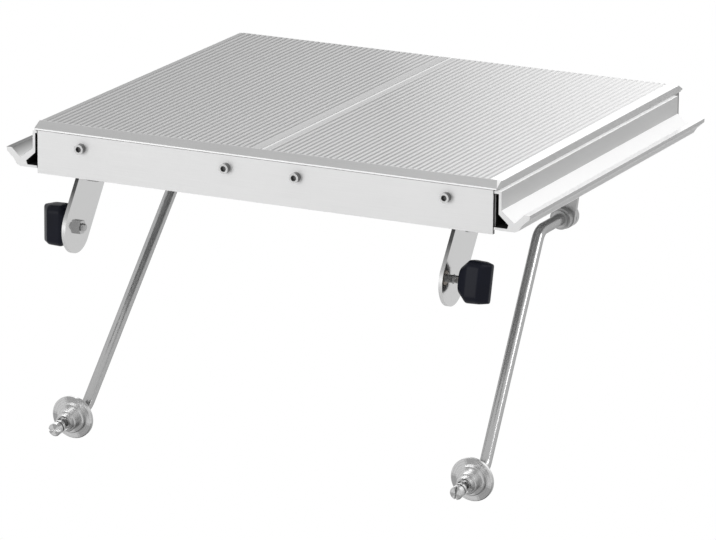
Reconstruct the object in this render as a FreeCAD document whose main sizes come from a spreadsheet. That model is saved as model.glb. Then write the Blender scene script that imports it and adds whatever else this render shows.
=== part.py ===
# Table extension for a workshop saw: a ribbed aluminium deck between two grooved side rails,
# with two swinging clamp arms at the saw's side and two bent support rods that reach forward
# and down to the saw's body.
# Millimetres. X runs along the saw's edge, Y away from the saw, Z up.
# Origin: centre of the front plate's outer face, which butts against the saw's table.
import FreeCAD, Part
import math
import os
import re
import Sketcher

doc = FreeCAD.newDocument("table_extension")
sheet = doc.addObject("Spreadsheet::Sheet", "Sizes")

# Driving sizes: name, number, meaning.
SIZES = [
    ("deck_width", 500, "whole deck, across both boards"),
    ("deck_length", 451, "deck from front face to rear face"),
    ("seam_x", -4.5, "middle of the seam between the boards"),
    ("board_skin", 4, "thickness of a board's top skin"),
    ("board_edge", 8, "depth of a board's solid long edges"),
    ("board_edge_width", 14, "width of a board's solid outer edge"),
    ("seam_edge_width", 12, "width of a board's solid edge at the seam"),
    ("slope_width", 9, "width of the sloped outer band of the deck"),
    ("slope_drop", 0.9, "fall of the sloped outer band"),
    ("web_thick", 3, "wall of the webs under a board"),
    ("foot_width", 30, "width of the foot flange under a web"),
    ("foot_thick", 3, "thickness of the foot flange"),
    ("board_depth", 26, "whole depth of a board"),
    ("port_inset", 52.4, "outer screw port from the deck's side"),
    ("port_inner_x", 38, "inner screw port from the middle"),
    ("port_rise", 6, "screw ports above a board's underside"),
    ("port_boss", 11, "outside of a screw port"),
    ("rib_pitch", 6.18, "least spacing of the deck's grooves"),
    ("band_outer_left", 7.6, "left board's outer edge to its first groove"),
    ("band_seam_left", 12.2, "left board's last groove to the seam"),
    ("band_seam_right", 8.8, "seam to the right board's first groove"),
    ("band_outer_right", 13.8, "right board's last groove to its outer edge"),
    ("groove_top", 3.4, "width of a deck groove at the top"),
    ("groove_floor", 1.8, "width of a deck groove at its floor"),
    ("groove_deep", 1, "depth of a deck groove"),
    ("strip_width", 3.2, "visible width of the joint strip"),
    ("strip_play", 0.2, "clearance round the joint strip"),
    ("strip_recess", 0.3, "joint strip below the deck's top"),
    ("tongue_reach", 4.8, "reach of the strip's tongues"),
    ("tongue_thick", 2.4, "thickness of the strip's tongues"),
    ("tongue_drop", 4.8, "middle of the tongues below the top"),
    ("nosing_depth", 11, "width of the bevelled nosing"),
    ("nosing_edge", 5.6, "fall of the nosing's bevel"),
    ("nosing_lip", 1.5, "upright face under the bevel"),
    ("nosing_leg", 26, "height of the nosing's leg"),
    ("nosing_leg_inset", 15, "nosing leg short of the deck's side"),
    ("plate_inset", 3.5, "plates short of the deck's side"),
    ("plate_height", 43.2, "front and rear plates"),
    ("plate_thick", 4, "front and rear plates"),
    ("plate_gap", 0.5, "gap between nosing and plate"),
    ("screw_size", 6, "plate and bar screws"),
    ("screw_play", 0.6, "clearance hole over the screw"),
    ("seat_play", 0.1, "threaded or pressed hole over what it holds, on diameter"),
    ("cap_head", 10, "cap head diameter"),
    ("cap_height", 6, "cap head height"),
    ("cap_key", 5, "hexagon socket across flats"),
    ("cap_key_deep", 3, "hexagon socket depth"),
    ("cap_reach", 30, "plate screw below its head"),
    ("pan_head", 11, "pan head diameter"),
    ("pan_height", 3.6, "pan head height"),
    ("bar_screw_reach", 14, "screw through bracket, bar and foot"),
    ("bar_screw_short", 10, "screw through bar and foot"),
    ("bar_screw_offset", 9, "bar screws beside the port web"),
    ("rail_short", 23, "side rails end short of the rear face"),
    ("rail_tuck", 3.8, "rail's inner wall from the deck's side"),
    ("rail_back_skin", 1.2, "rail's inner upright wall"),
    ("rail_wall_left", 2, "left rail's upright wall beyond the deck's side"),
    ("rail_wall_right", 5, "right rail's upright wall beyond the deck's side"),
    ("rail_wall", 2.8, "upright wall"),
    ("rail_skin", 2.5, "thin walls of the rail's chamber"),
    ("rail_height", 38, "rail from its ledge to its underside"),
    ("wall_drop", 18.4, "upright wall's face, ledge to V"),
    ("vee_out", 14, "bottom of the V groove from the upright wall"),
    ("vee_rise", 8.7, "bottom of the V groove above the underside"),
    ("lip_in", 23.5, "top of the V's outer slope from the upright wall"),
    ("lip_flat", 6, "flat on top of the lip"),
    ("lip_rise", 18, "top of the lip above the underside"),
    ("lip_face", 3.6, "upright face of the lip"),
    ("lip_under_out", 21.5, "lip's underside ends here, from the upright wall"),
    ("lip_under_rise", 7.2, "lip's underside above the rail's"),
    ("keel_out", 18, "outer foot of the rail from the upright wall"),
    ("keel_rise", 1.7, "outer foot above the underside"),
    ("keel_flat", 4, "corner of the rail's underside"),
    ("chamber_out", 7.5, "tip of the hollow chamber from the upright wall"),
    ("chamber_rise", 6.4, "tip of the hollow chamber above the underside"),
    ("chamber_slope", 3.9, "chamber's slope starts below the V's"),
    ("notch_play", 0.3, "rail clear of the plate"),
    ("flange_reach", 12, "rail's screw flange under the board"),
    ("flange_thick", 3, "rail's screw flange"),
    ("flange_setback", 1, "flange clear of the nosing"),
    ("rail_screw", 5, "rail screws"),
    ("rail_screw_head", 9, "rail screw head"),
    ("rail_screw_height", 3.2, "rail screw head"),
    ("rail_screw_grip", 5.5, "rail screw in the board"),
    ("rail_screw_end", 30, "end rail screws from the flange's ends"),
    ("bar_thick", 5, "crossbars"),
    ("bar_width", 40, "crossbars"),
    ("rear_bar_y", 262, "rear crossbar's near edge"),
    ("rear_bar_inset", 20, "rear crossbar short of the deck's side"),
    ("arm_offset", 6.4, "middle of an arm's thickness outside the outer port"),
    ("arm_thick", 4, "clamp arm"),
    ("arm_width", 51.2, "clamp arm"),
    ("arm_reach", 57.9, "arm's end circle from the pivot"),
    ("bolt_reach", 57, "clamp bolt from the pivot"),
    ("arm_pivot_y", 33.8, "arm pivot behind the front face"),
    ("arm_clear", 2, "arm's round top below the board"),
    ("arm_lean_left", 35.4, "left arm's lean to the saw, degrees"),
    ("arm_lean_right", 35.4, "right arm's lean to the saw, degrees"),
    ("hanger_thick", 4, "arm hanger"),
    ("hanger_width", 32, "arm hanger's flange along Y"),
    ("hanger_cheek", 16, "arm hanger's hanging cheek and its round end"),
    ("hanger_flange", 32, "arm hanger's flange along X"),
    ("pivot_size", 8, "pivot bolt and clamp stud"),
    ("hex_flats", 13, "hexagons of bolt and nuts"),
    ("hex_head", 5.3, "pivot bolt's head"),
    ("nut_height", 6.5, "pivot nuts"),
    ("clamp_nut_height", 5, "thin nut on the arm"),
    ("washer_size", 16, "washers beside the arm"),
    ("washer_thick", 1, "washers beside the arm"),
    ("side_play", 0.3, "gap between moving pieces"),
    ("pivot_tail", 3, "bolt beyond its nut"),
    ("fit_play", 0.1, "running fit on diameter"),
    ("stud_hole_play", 1, "arm's hole over the stud"),
    ("stud_tail", 5.1, "stud beyond its nut when closed"),
    ("stud_grip", 14, "stud inside the knob"),
    ("insert_size", 14, "knob's metal insert"),
    ("insert_depth", 16, "knob's metal insert"),
    ("knob_gap_left", 1.6, "left knob off its arm"),
    ("knob_gap_right", 8.3, "right knob off its arm"),
    ("knob_turn_left", 0, "left knob's turn, degrees"),
    ("knob_turn_right", -13, "right knob's turn, degrees"),
    ("knob_neck", 19, "knob's neck, short side"),
    ("knob_neck_long", 27, "knob's neck, long side"),
    ("knob_neck_corner", 7.5, "knob's neck corner"),
    ("knob_base", 9.5, "neck to full width"),
    ("knob_waist", 13, "straight length of the grip"),
    ("knob_roof", 8.5, "tapered outer length of the grip"),
    ("knob_long", 42, "grip's long side at its base"),
    ("knob_long_waist", 41, "grip's long side where it tapers"),
    ("knob_long_top", 37.5, "grip's long side at its outer end"),
    ("knob_wide", 26, "grip's short side"),
    ("knob_wide_top", 6, "grip's short side at its outer end"),
    ("knob_corner", 8, "grip's corner at its base"),
    ("knob_corner_top", 2.2, "grip's corner at its outer end"),
    ("rod_size", 12, "support rod"),
    ("rod_offset", 5.4, "rod's pivot outside the outer port"),
    ("rod_pivot_drop", 102.3, "rod's pivot below the deck's top"),
    ("rod_tail", 1.2, "rod behind its set collar"),
    ("rod_upper_run", 57.5, "bracket's face to the rod's upper corner"),
    ("rod_foot_run", 27.3, "foot flange to the rod's lower corner, along the deck's depth"),
    ("rod_fall", 202, "rod's pivot to its foot"),
    ("rod_curve", 20, "bend radius of the rod's middle line"),
    ("rod_splay", 4.75, "rods lean outward, degrees"),
    ("lug_thick", 5, "rod bracket's plate"),
    ("lug_setback", 2, "rod bracket's front face behind the bar's edge"),
    ("lug_round", 12, "round end of the bracket's plate"),
    ("lug_half_top", 21, "half width of the plate at its top"),
    ("lug_flange", 30, "rod bracket's flange along Y"),
    ("bush_collar", 22, "bush's front collar"),
    ("bush_collar_long", 8, "bush's front collar"),
    ("bush_sleeve", 16, "bush's sleeve in the bracket"),
    ("bush_tail", 0.5, "bush behind the bracket"),
    ("clip_size", 17, "retaining ring on the rod"),
    ("clip_thick", 1.5, "retaining ring on the rod"),
    ("collar_size", 24, "set collar behind the bracket"),
    ("collar_long", 6.4, "set collar behind the bracket"),
    ("grub_size", 5, "set collar's grub screw"),
    ("foot_y", 20.1, "middle of the foot flange behind the front face"),
    ("foot_tilt", 5.4, "foot points down towards the saw, degrees"),
    ("disc_size", 44.4, "foot flange"),
    ("disc_thick", 5, "foot flange"),
    ("disc_edge", 1, "bevel on the foot flange"),
    ("hub_size", 30, "step in front of the flange"),
    ("hub_long", 4, "step in front of the flange"),
    ("spigot_size", 21, "foot's spigot"),
    ("spigot_long", 8, "foot's spigot"),
    ("spigot_edge", 0.8, "bevel on the spigot"),
    ("boss_size", 17.2, "sleeve in front of the spigot"),
    ("boss_long", 5.5, "sleeve in front of the spigot"),
    ("cup_size", 14, "recess in the sleeve"),
    ("cup_deep", 4, "recess in the sleeve"),
    ("cup_floor", 2.5, "recess to the rod's front end"),
    ("lock_neck", 8.4, "neck of the locking pin"),
    ("lock_neck_long", 10.5, "recess to the locking pin's ring"),
    ("lock_ring", 12.6, "ring on the locking pin"),
    ("lock_ring_long", 3, "ring on the locking pin"),
    ("lock_groove_long", 2.5, "groove behind the locking pin's head"),
    ("lock_head", 13.2, "head of the locking pin"),
    ("lock_head_long", 6.5, "head of the locking pin"),
    ("lock_edge", 0.8, "bevel on the head of the locking pin"),
    ("slot_width", 2, "slot across the locking pin's head"),
    ("slot_deep", 2.2, "slot across the locking pin's head"),
    ("slot_turn_left", 80, "left slot's turn from upright, degrees"),
    ("slot_turn_right", 12, "right slot's turn from upright, degrees"),
    ("overrun", 2, "how far a cutting shape passes its piece"),
]
for row, (alias, number, meaning) in enumerate(SIZES, start=1):
    sheet.set(f"A{row}", meaning)
    sheet.set(f"B{row}", str(number))
    sheet.setAlias(f"B{row}", alias)
doc.recompute()
ALIASES = {alias for alias, number, meaning in SIZES}

# Places worked out from the driving sizes.
DECK_HALF = "(deck_width / 2)"
NOSING_UNDER = "(nosing_edge + nosing_lip)"
DECK_TOP = f"(plate_height / 2 + {NOSING_UNDER} + plate_gap)"
LEDGE = f"({DECK_TOP} - board_edge)"
FEET = f"({DECK_TOP} - board_depth)"
BAR_UNDER = f"({FEET} - bar_thick)"
PORT_DROP = "(board_depth - port_rise)"
PORT_Z = f"({DECK_TOP} - {PORT_DROP})"
PORT_OUTER = f"({DECK_HALF} - port_inset)"
RAIL_INNER = f"({DECK_HALF} - rail_tuck)"
CHAMBER_INNER = f"({RAIL_INNER} + rail_back_skin)"
RAIL_LENGTH = "(deck_length - rail_short)"
ARM_X = f"({PORT_OUTER} + arm_offset)"
ARM_OUTER = f"({ARM_X} + arm_thick / 2)"
ARM_INNER = f"({ARM_X} - arm_thick / 2)"
HANGER_OUTER = f"({ARM_INNER} - side_play - washer_thick)"
HANGER_INNER = f"({HANGER_OUTER} - hanger_thick)"
PIVOT_Z = f"({FEET} - arm_clear - arm_width / 2)"
ROD_X = f"({PORT_OUTER} + rod_offset)"
ROD_Z = f"({DECK_TOP} - rod_pivot_drop)"
KNOB_LENGTH = "(knob_base + knob_waist + knob_roof)"
FRONT_BAR_Y = "(arm_pivot_y - bar_width / 2)"
FRONT_BAR_MID = "arm_pivot_y"
REAR_BAR_MID = "(rear_bar_y + bar_width / 2)"
LUG_Y = "(rear_bar_y + lug_setback)"
COLLAR_Y = f"({LUG_Y} + lug_thick + bush_tail + side_play)"
DISC_HALF = "(disc_thick / 2)"
HUB_FRONT = f"({DISC_HALF} + hub_long)"
SPIGOT_FRONT = f"({HUB_FRONT} + spigot_long)"
BOSS_FRONT = f"({SPIGOT_FRONT} + boss_long)"
CUP_FLOOR = f"({BOSS_FRONT} - cup_deep)"
ROD_END = f"({CUP_FLOOR} - cup_floor)"

AIM = {
    "+X": FreeCAD.Rotation(FreeCAD.Vector(0, 1, 0), 90),
    "-X": FreeCAD.Rotation(FreeCAD.Vector(0, 1, 0), -90),
    "+Y": FreeCAD.Rotation(FreeCAD.Vector(1, 0, 0), -90),
    "-Y": FreeCAD.Rotation(FreeCAD.Vector(1, 0, 0), 90),
    "+Z": FreeCAD.Rotation(),
    "-Z": FreeCAD.Rotation(FreeCAD.Vector(1, 0, 0), 180),
}
ACROSS_X = FreeCAD.Rotation(FreeCAD.Vector(1, 1, 1), 120)
TWO_SIDES = (("left", -1), ("right", 1))
nodes = []


# Sheet and placing helpers
def cells(text):
    """Write an expression with each size named in full."""
    return re.sub(r"[a-z_]+", lambda word: "Sizes." + word[0] if word[0] in ALIASES else word[0], str(text))


def value(text):
    """Work out an expression from the sheet."""
    return float(sheet.evalExpression(cells(text)))


def bind(item, **sizes):
    """Tie properties of an object to expressions."""
    for name, text in sizes.items():
        item.setExpression(name, cells(text))


def place(item, at, aim="+Z"):
    """Put an object at three expressions, its own Z turned to a direction."""
    item.Placement = FreeCAD.Placement(FreeCAD.Vector(), AIM[aim])
    for letter, text in zip("xyz", at):
        item.setExpression(f".Placement.Base.{letter}", cells(text))


def turn(item, axis, degrees):
    """Turn an object about an axis through its own origin."""
    item.Placement = FreeCAD.Placement(item.Placement.Base, FreeCAD.Rotation(FreeCAD.Vector(*axis), 1))
    item.setExpression(".Placement.Rotation.Angle", cells(degrees))


def node(item, label):
    """Keep an object as a named sub-part."""
    item.Label = label
    nodes.append(item)
    return item


# Primitive and boolean helpers
def box(name, extents, at):
    item = doc.addObject("Part::Box", name)
    bind(item, Length=extents[0], Width=extents[1], Height=extents[2])
    place(item, at)
    return item


def cylinder(name, diameter, length, at, aim="+Z"):
    item = doc.addObject("Part::Cylinder", name)
    bind(item, Radius=f"({diameter}) / 2", Height=length)
    place(item, at, aim)
    return item


def hexagon(name, flats, length, at, aim="+Z"):
    item = doc.addObject("Part::Prism", name)
    item.Polygon = 6
    bind(item, Circumradius=f"({flats}) / 2 / cos(30)", Height=length)
    place(item, at, aim)
    return item


def fused(name, items):
    if len(items) == 1:
        return items[0]
    item = doc.addObject("Part::MultiFuse", name)
    item.Shapes = items
    item.Refine = True
    return item


def cut(name, base, tools):
    item = doc.addObject("Part::Cut", name)
    item.Base = base
    item.Tool = fused(name + "_tools", tools)
    return item


def grouped(name, items):
    item = doc.addObject("Part::Compound", name)
    item.Links = items
    return item


# Sketch and body helpers
def plane_of(body, role):
    return [feature for feature in body.Origin.OriginFeatures if feature.Role == role][0]


def add_outline(sketch, points):
    """Draw a closed outline of straight sides, each corner tied to the sheet."""
    first = sketch.GeometryCount
    corners = [FreeCAD.Vector(value(x), value(y), 0) for x, y in points]
    count = len(points)
    for index in range(count):
        sketch.addGeometry(Part.LineSegment(corners[index], corners[(index + 1) % count]), False)
    for index in range(count):
        following = first + (index + 1) % count
        sketch.addConstraint(Sketcher.Constraint("Coincident", first + index, 2, following, 1))
    for index, (x, y) in enumerate(points):
        for kind, text in (("DistanceX", x), ("DistanceY", y)):
            rule = sketch.addConstraint(Sketcher.Constraint(kind, -1, 1, first + index, 1, value(text)))
            sketch.setExpression(f"Constraints[{rule}]", cells(text))


def add_circle(sketch, x, y, diameter):
    """Draw a circle tied to the sheet."""
    radius = f"({diameter}) / 2"
    centre = FreeCAD.Vector(value(x), value(y), 0)
    ring = sketch.addGeometry(Part.Circle(centre, FreeCAD.Vector(0, 0, 1), value(radius)), False)
    for kind, text in (("DistanceX", x), ("DistanceY", y)):
        rule = sketch.addConstraint(Sketcher.Constraint(kind, -1, 1, ring, 3, value(text)))
        sketch.setExpression(f"Constraints[{rule}]", cells(text))
    rule = sketch.addConstraint(Sketcher.Constraint("Radius", ring, value(radius)))
    sketch.setExpression(f"Constraints[{rule}]", cells(radius))


def drawing(body, name, role, outlines=(), circles=(), offset="0"):
    """A sketch on one of a body's own planes, moved along the plane's normal."""
    sketch = body.newObject("Sketcher::SketchObject", name)
    sketch.AttachmentSupport = [(plane_of(body, role), "")]
    sketch.MapMode = "FlatFace"
    sketch.setExpression(".AttachmentOffset.Base.z", cells(offset))
    for points in outlines:
        add_outline(sketch, points)
    for x, y, diameter in circles:
        add_circle(sketch, x, y, diameter)
    return sketch


def pad(body, name, sketch, length, backward=False, both=False):
    feature = body.newObject("PartDesign::Pad", name)
    feature.Profile = sketch
    feature.Reversed = backward
    feature.Midplane = both
    bind(feature, Length=length)
    return feature


def pocket(body, name, sketch, length, backward=False):
    feature = body.newObject("PartDesign::Pocket", name)
    feature.Profile = sketch
    feature.Reversed = backward
    bind(feature, Length=length)
    return feature


# Deck
def port_places(side):
    return [f"{side} * {PORT_OUTER}", f"{side} * port_inner_x"]


def tee(side, x):
    """Web and foot flange under a board, from its outer side to its inner side."""
    web = f"{side} * web_thick / 2"
    foot = f"{side} * foot_width / 2"
    shoulder = "foot_thick - board_depth"
    return [
        (f"{x} + {web}", "-board_skin"),
        (f"{x} + {web}", shoulder),
        (f"{x} + {foot}", shoulder),
        (f"{x} + {foot}", "-board_depth"),
        (f"{x} - {foot}", "-board_depth"),
        (f"{x} - {foot}", shoulder),
        (f"{x} - {web}", shoulder),
        (f"{x} - {web}", "-board_skin"),
    ]


def deck_board(label, side):
    """One extruded board: skin, solid edges, webs with feet, screw ports and grooves."""
    outer = f"{side} * {DECK_HALF}"
    inner = f"(seam_x + {side} * (strip_width / 2 + strip_play))"
    slot_top = "tongue_thick / 2 + strip_play - tongue_drop"
    slot_floor = "-tongue_thick / 2 - strip_play - tongue_drop"
    slot_end = f"{inner} + {side} * (tongue_reach + strip_play)"
    middle_web = f"{side} * ({PORT_OUTER} + port_inner_x) / 2"
    outline = [
        (inner, "0"),
        (f"{outer} - {side} * slope_width", "0"),
        (outer, "-slope_drop"),
        (outer, "-board_edge"),
        (f"{outer} - {side} * board_edge_width", "-board_edge"),
        (f"{outer} - {side} * board_edge_width", "-board_skin"),
    ]
    for x in (f"{side} * {PORT_OUTER}", middle_web, f"{side} * port_inner_x"):
        outline += tee(side, x)
    outline += [
        (f"{inner} + {side} * seam_edge_width", "-board_skin"),
        (f"{inner} + {side} * seam_edge_width", "-board_edge"),
        (inner, "-board_edge"),
        (inner, slot_floor),
        (slot_end, slot_floor),
        (slot_end, slot_top),
        (inner, slot_top),
    ]
    length = "deck_length - 2 * nosing_depth"
    board = doc.addObject("PartDesign::Body", label)
    pad(board, label + "_section", drawing(board, label + "_outline", "XZ_Plane", [outline]), length, True)
    bosses = [(x, f"-{PORT_DROP}", "port_boss") for x in port_places(side)]
    pad(board, label + "_bosses", drawing(board, label + "_boss_rings", "XZ_Plane", (), bosses), length, True)
    bores = [(x, f"-{PORT_DROP}", "screw_size + seat_play") for x in port_places(side)]
    pocket(board, label + "_ports", drawing(board, label + "_port_rings", "XZ_Plane", (), bores), length)
    if side < 0:
        first = f"({outer} + band_outer_left)"
        span = f"({inner} - band_seam_left - {first})"
    else:
        first = f"({inner} + band_seam_right)"
        span = f"({outer} - band_outer_right - {first})"
    groove_outline = [
        (f"{first} - groove_top / 2", "overrun"),
        (f"{first} + groove_top / 2", "overrun"),
        (f"{first} + groove_top / 2", "0"),
        (f"{first} + groove_floor / 2", "-groove_deep"),
        (f"{first} - groove_floor / 2", "-groove_deep"),
        (f"{first} - groove_top / 2", "0"),
    ]
    groove_drawing = drawing(board, label + "_groove_outline", "XZ_Plane", [groove_outline])
    groove = pocket(board, label + "_groove", groove_drawing, length)
    ribs = board.newObject("PartDesign::LinearPattern", label + "_grooves")
    ribs.Originals = [groove]
    ribs.Direction = (groove_drawing, ["H_Axis"])
    bind(ribs, Length=span, Occurrences=f"floor({span} / rib_pitch) + 1")
    board.Tip = ribs
    drill_board(board, label, side)
    place(board, ("0", "nosing_depth", DECK_TOP))
    return node(board, label)


def drill_board(board, label, side):
    """Blind holes for the rail's screws and through holes for the crossbars' screws."""
    rail_x = f"{side} * ({RAIL_INNER} - flange_reach / 2)"
    rings = [(rail_x, f"{y} - nosing_depth", "rail_screw + seat_play") for y in rail_screw_places()]
    edge = drawing(board, label + "_rail_rings", "XY_Plane", (), rings, "-board_edge")
    pocket(board, label + "_rail_holes", edge, "rail_screw_grip + side_play", True)
    outer, inner = foot_screw_places(side)
    rings = [(inner, FRONT_BAR_MID), (inner, REAR_BAR_MID)]
    rings += [(outer, y) for y in hanger_screw_rows()]
    rings += [(x, REAR_BAR_MID) for x in lug_screw_places(side)]
    rings = [(x, f"{y} - nosing_depth", "screw_size + seat_play") for x, y in rings]
    feet = drawing(board, label + "_foot_rings", "XY_Plane", (), rings, "-board_depth")
    pocket(board, label + "_foot_holes", feet, "foot_thick", True)


def joint_strip():
    """Cross-shaped strip that slides into the boards' edges and shows as the seam."""
    half = "strip_width / 2"
    reach = "strip_width / 2 + tongue_reach"
    top = "tongue_thick / 2 - tongue_drop"
    floor = "-tongue_thick / 2 - tongue_drop"
    right_half = [
        (half, "-strip_recess"),
        (half, top),
        (reach, top),
        (reach, floor),
        (half, floor),
        (half, "-board_edge"),
    ]
    left_half = [(f"-({x})", z) for x, z in reversed(right_half)]
    strip = doc.addObject("PartDesign::Body", "joint_strip")
    outline = drawing(strip, "strip_outline", "XZ_Plane", [right_half + left_half])
    pad(strip, "strip_section", outline, "deck_length - 2 * nosing_depth", True)
    place(strip, ("seam_x", "nosing_depth", DECK_TOP))
    return node(strip, "joint_strip")


def from_end(y, rear):
    """A distance behind the front face, or the same ahead of the rear face."""
    return f"(deck_length - ({y}))" if rear else f"({y})"


def end_nosing(label, rear):
    """Bevelled bar across both boards' ends, with a leg behind the plate."""
    wedge = [
        (from_end("0", rear), "-nosing_edge"),
        (from_end("0", rear), f"-{NOSING_UNDER}"),
        (from_end("plate_thick", rear), f"-{NOSING_UNDER}"),
        (from_end("plate_thick", rear), "-board_edge"),
        (from_end("nosing_depth", rear), "-board_edge"),
        (from_end("nosing_depth", rear), "0"),
    ]
    leg = [
        (from_end("plate_thick", rear), "-board_edge"),
        (from_end("nosing_depth", rear), "-board_edge"),
        (from_end("nosing_depth", rear), "-board_edge - nosing_leg"),
        (from_end("plate_thick", rear), "-board_edge - nosing_leg"),
    ]
    bar = doc.addObject("PartDesign::Body", label)
    pad(bar, label + "_wedge", drawing(bar, label + "_bevel", "YZ_Plane", [wedge]), "deck_width", False, True)
    leg_width = "deck_width - 2 * nosing_leg_inset"
    pad(bar, label + "_leg", drawing(bar, label + "_leg_outline", "YZ_Plane", [leg]), leg_width, False, True)
    rings = [(x, f"-{PORT_DROP}", "screw_size + screw_play") for side in (-1, 1) for x in port_places(side)]
    start = f"-{from_end('nosing_depth + overrun' if rear else 'plate_thick - overrun', rear)}"
    holes = drawing(bar, label + "_hole_rings", "XZ_Plane", (), rings, start)
    pocket(bar, label + "_holes", holes, "nosing_depth - plate_thick + 2 * overrun")
    place(bar, ("0", "0", DECK_TOP))
    return node(bar, label)


def end_plate(label, rear):
    """Flat cover plate across the boards' ends."""
    half = f"({DECK_HALF} - plate_inset)"
    tall = "plate_height / 2"
    outline = [(f"-{half}", f"-{tall}"), (half, f"-{tall}"), (half, tall), (f"-{half}", tall)]
    rings = [(x, PORT_Z, "screw_size + screw_play") for side in (-1, 1) for x in port_places(side)]
    plate = doc.addObject("PartDesign::Body", label)
    sheet_outline = drawing(plate, label + "_outline", "XZ_Plane", [outline])
    pad(plate, label + "_sheet", sheet_outline, "plate_thick", True)
    pocket(plate, label + "_holes", drawing(plate, label + "_rings", "XZ_Plane", (), rings), "plate_thick")
    place(plate, ("0", "deck_length - plate_thick" if rear else "0", "0"))
    return node(plate, label)


def cap_screw(name, at, rear):
    """Socket cap screw whose head stands on a plate's outer face."""
    x, z = at
    face = "deck_length" if rear else "0"
    inward = "-Y" if rear else "+Y"
    outward = "+Y" if rear else "-Y"
    sign = 1 if rear else -1
    head = cylinder(name + "_head", "cap_head", "cap_height", (x, face, z), outward)
    shank = cylinder(name + "_shank", "screw_size", "cap_reach", (x, face, z), inward)
    key_y = f"{face} + {sign} * (cap_height - cap_key_deep)"
    key = hexagon(name + "_key", "cap_key", "cap_key_deep + overrun", (x, key_y, z), outward)
    return cut(name, fused(name + "_blank", [head, shank]), [key])


def plate_screws(label, rear):
    places = [x for side in (-1, 1) for x in port_places(side)]
    screws = [cap_screw(f"{label}_{index}", (x, PORT_Z), rear) for index, x in enumerate(places, start=1)]
    return node(grouped(label, screws), label)


# Side rails
def rail_screw_places():
    """Five places along the rail's screw flange, measured from the rail's front end."""
    start = "(nosing_depth + flange_setback + rail_screw_end)"
    stop = f"({RAIL_LENGTH} - flange_setback - rail_screw_end)"
    return [f"({start} + ({stop} - {start}) * {index} / 4)" for index in range(5)]


def side_rail(label, word, side):
    """Hollow rail with an upright wall, a V groove and a lip; a flange under the board holds it."""
    wall = f"({DECK_HALF} + rail_wall_{word})"
    outline = [
        (RAIL_INNER, "0"),
        (wall, "0"),
        (wall, "-wall_drop"),
        (f"{wall} + vee_out", "vee_rise - rail_height"),
        (f"{wall} + lip_in", "lip_rise - rail_height"),
        (f"{wall} + lip_in + lip_flat", "lip_rise - rail_height"),
        (f"{wall} + lip_in + lip_flat", "lip_rise - rail_height - lip_face"),
        (f"{wall} + lip_under_out", "lip_under_rise - rail_height"),
        (f"{wall} + keel_out", "keel_rise - rail_height"),
        (f"{wall} + keel_out - keel_flat", "-rail_height"),
        (RAIL_INNER, "-rail_height"),
    ]
    chamber = [
        (CHAMBER_INNER, "-rail_skin"),
        (f"{wall} - rail_wall", "-rail_skin"),
        (f"{wall} - rail_wall", "-wall_drop - chamber_slope"),
        (f"{wall} + chamber_out", "chamber_rise - rail_height"),
        (f"{wall} + chamber_out - rail_skin / 2", "rail_skin - rail_height"),
        (CHAMBER_INNER, "rail_skin - rail_height"),
    ]
    flange = [
        (f"{RAIL_INNER} - flange_reach", "0"),
        (RAIL_INNER, "0"),
        (RAIL_INNER, "-flange_thick"),
        (f"{RAIL_INNER} - flange_reach", "-flange_thick"),
    ]
    notch = [
        (f"{RAIL_INNER} - overrun", "overrun"),
        (CHAMBER_INNER, "overrun"),
        (CHAMBER_INNER, "-rail_height - overrun"),
        (f"{RAIL_INNER} - overrun", "-rail_height - overrun"),
    ]
    section = [[(f"{side} * ({x})", z) for x, z in points] for points in (outline, chamber)]
    lip = [(f"{side} * ({x})", z) for x, z in flange]
    rail = doc.addObject("PartDesign::Body", label)
    pad(rail, label + "_section", drawing(rail, label + "_outline", "XZ_Plane", section), RAIL_LENGTH, True)
    flange_start = "-(nosing_depth + flange_setback)"
    flange_length = f"{RAIL_LENGTH} - nosing_depth - 2 * flange_setback"
    flange_drawing = drawing(rail, label + "_flange_outline", "XZ_Plane", [lip], (), flange_start)
    pad(rail, label + "_flange", flange_drawing, flange_length, True)
    notch = [(f"{side} * ({x})", z) for x, z in notch]
    notch_drawing = drawing(rail, label + "_notch_outline", "XZ_Plane", [notch])
    pocket(rail, label + "_notch", notch_drawing, "plate_thick + notch_play")
    screw_x = f"{side} * ({RAIL_INNER} - flange_reach / 2)"
    rings = [(screw_x, y, "rail_screw + screw_play") for y in rail_screw_places()]
    holes = drawing(rail, label + "_hole_rings", "XY_Plane", (), rings)
    pocket(rail, label + "_holes", holes, "flange_thick")
    place(rail, ("0", "0", LEDGE))
    return node(rail, label)


def rail_screws(label, side):
    """Five screws up through the rail's flange into the board's edge."""
    x = f"{side} * ({RAIL_INNER} - flange_reach / 2)"
    under = f"{LEDGE} - flange_thick"
    screws = []
    for index, y in enumerate(rail_screw_places(), start=1):
        name = f"{label}_{index}"
        head = cylinder(name + "_head", "rail_screw_head", "rail_screw_height", (x, y, under), "-Z")
        shank_long = "flange_thick + rail_screw_grip"
        shank = cylinder(name + "_shank", "rail_screw", shank_long, (x, y, under))
        screws.append(fused(name, [head, shank]))
    return node(grouped(label, screws), label)


# Crossbars and brackets
def foot_screw_places(side):
    """Bar screws stand beside the port webs, clear of the ports."""
    outer = f"{side} * ({PORT_OUTER} - bar_screw_offset)"
    inner = f"{side} * (port_inner_x + bar_screw_offset)"
    return outer, inner


def crossbar(label, near_y, half, holes):
    """Flat bar that ties the two boards and carries the brackets."""
    blank = box(label + "_bar", (f"2 * {half}", "bar_width", "bar_thick"), (f"-{half}", near_y, BAR_UNDER))
    drills = []
    for index, (x, y) in enumerate(holes, start=1):
        at = (x, y, f"{BAR_UNDER} - overrun")
        drill_long = "bar_thick + 2 * overrun"
        drills.append(cylinder(f"{label}_drill_{index}", "screw_size + seat_play", drill_long, at))
    return node(cut(label, blank, drills), label)


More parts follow.
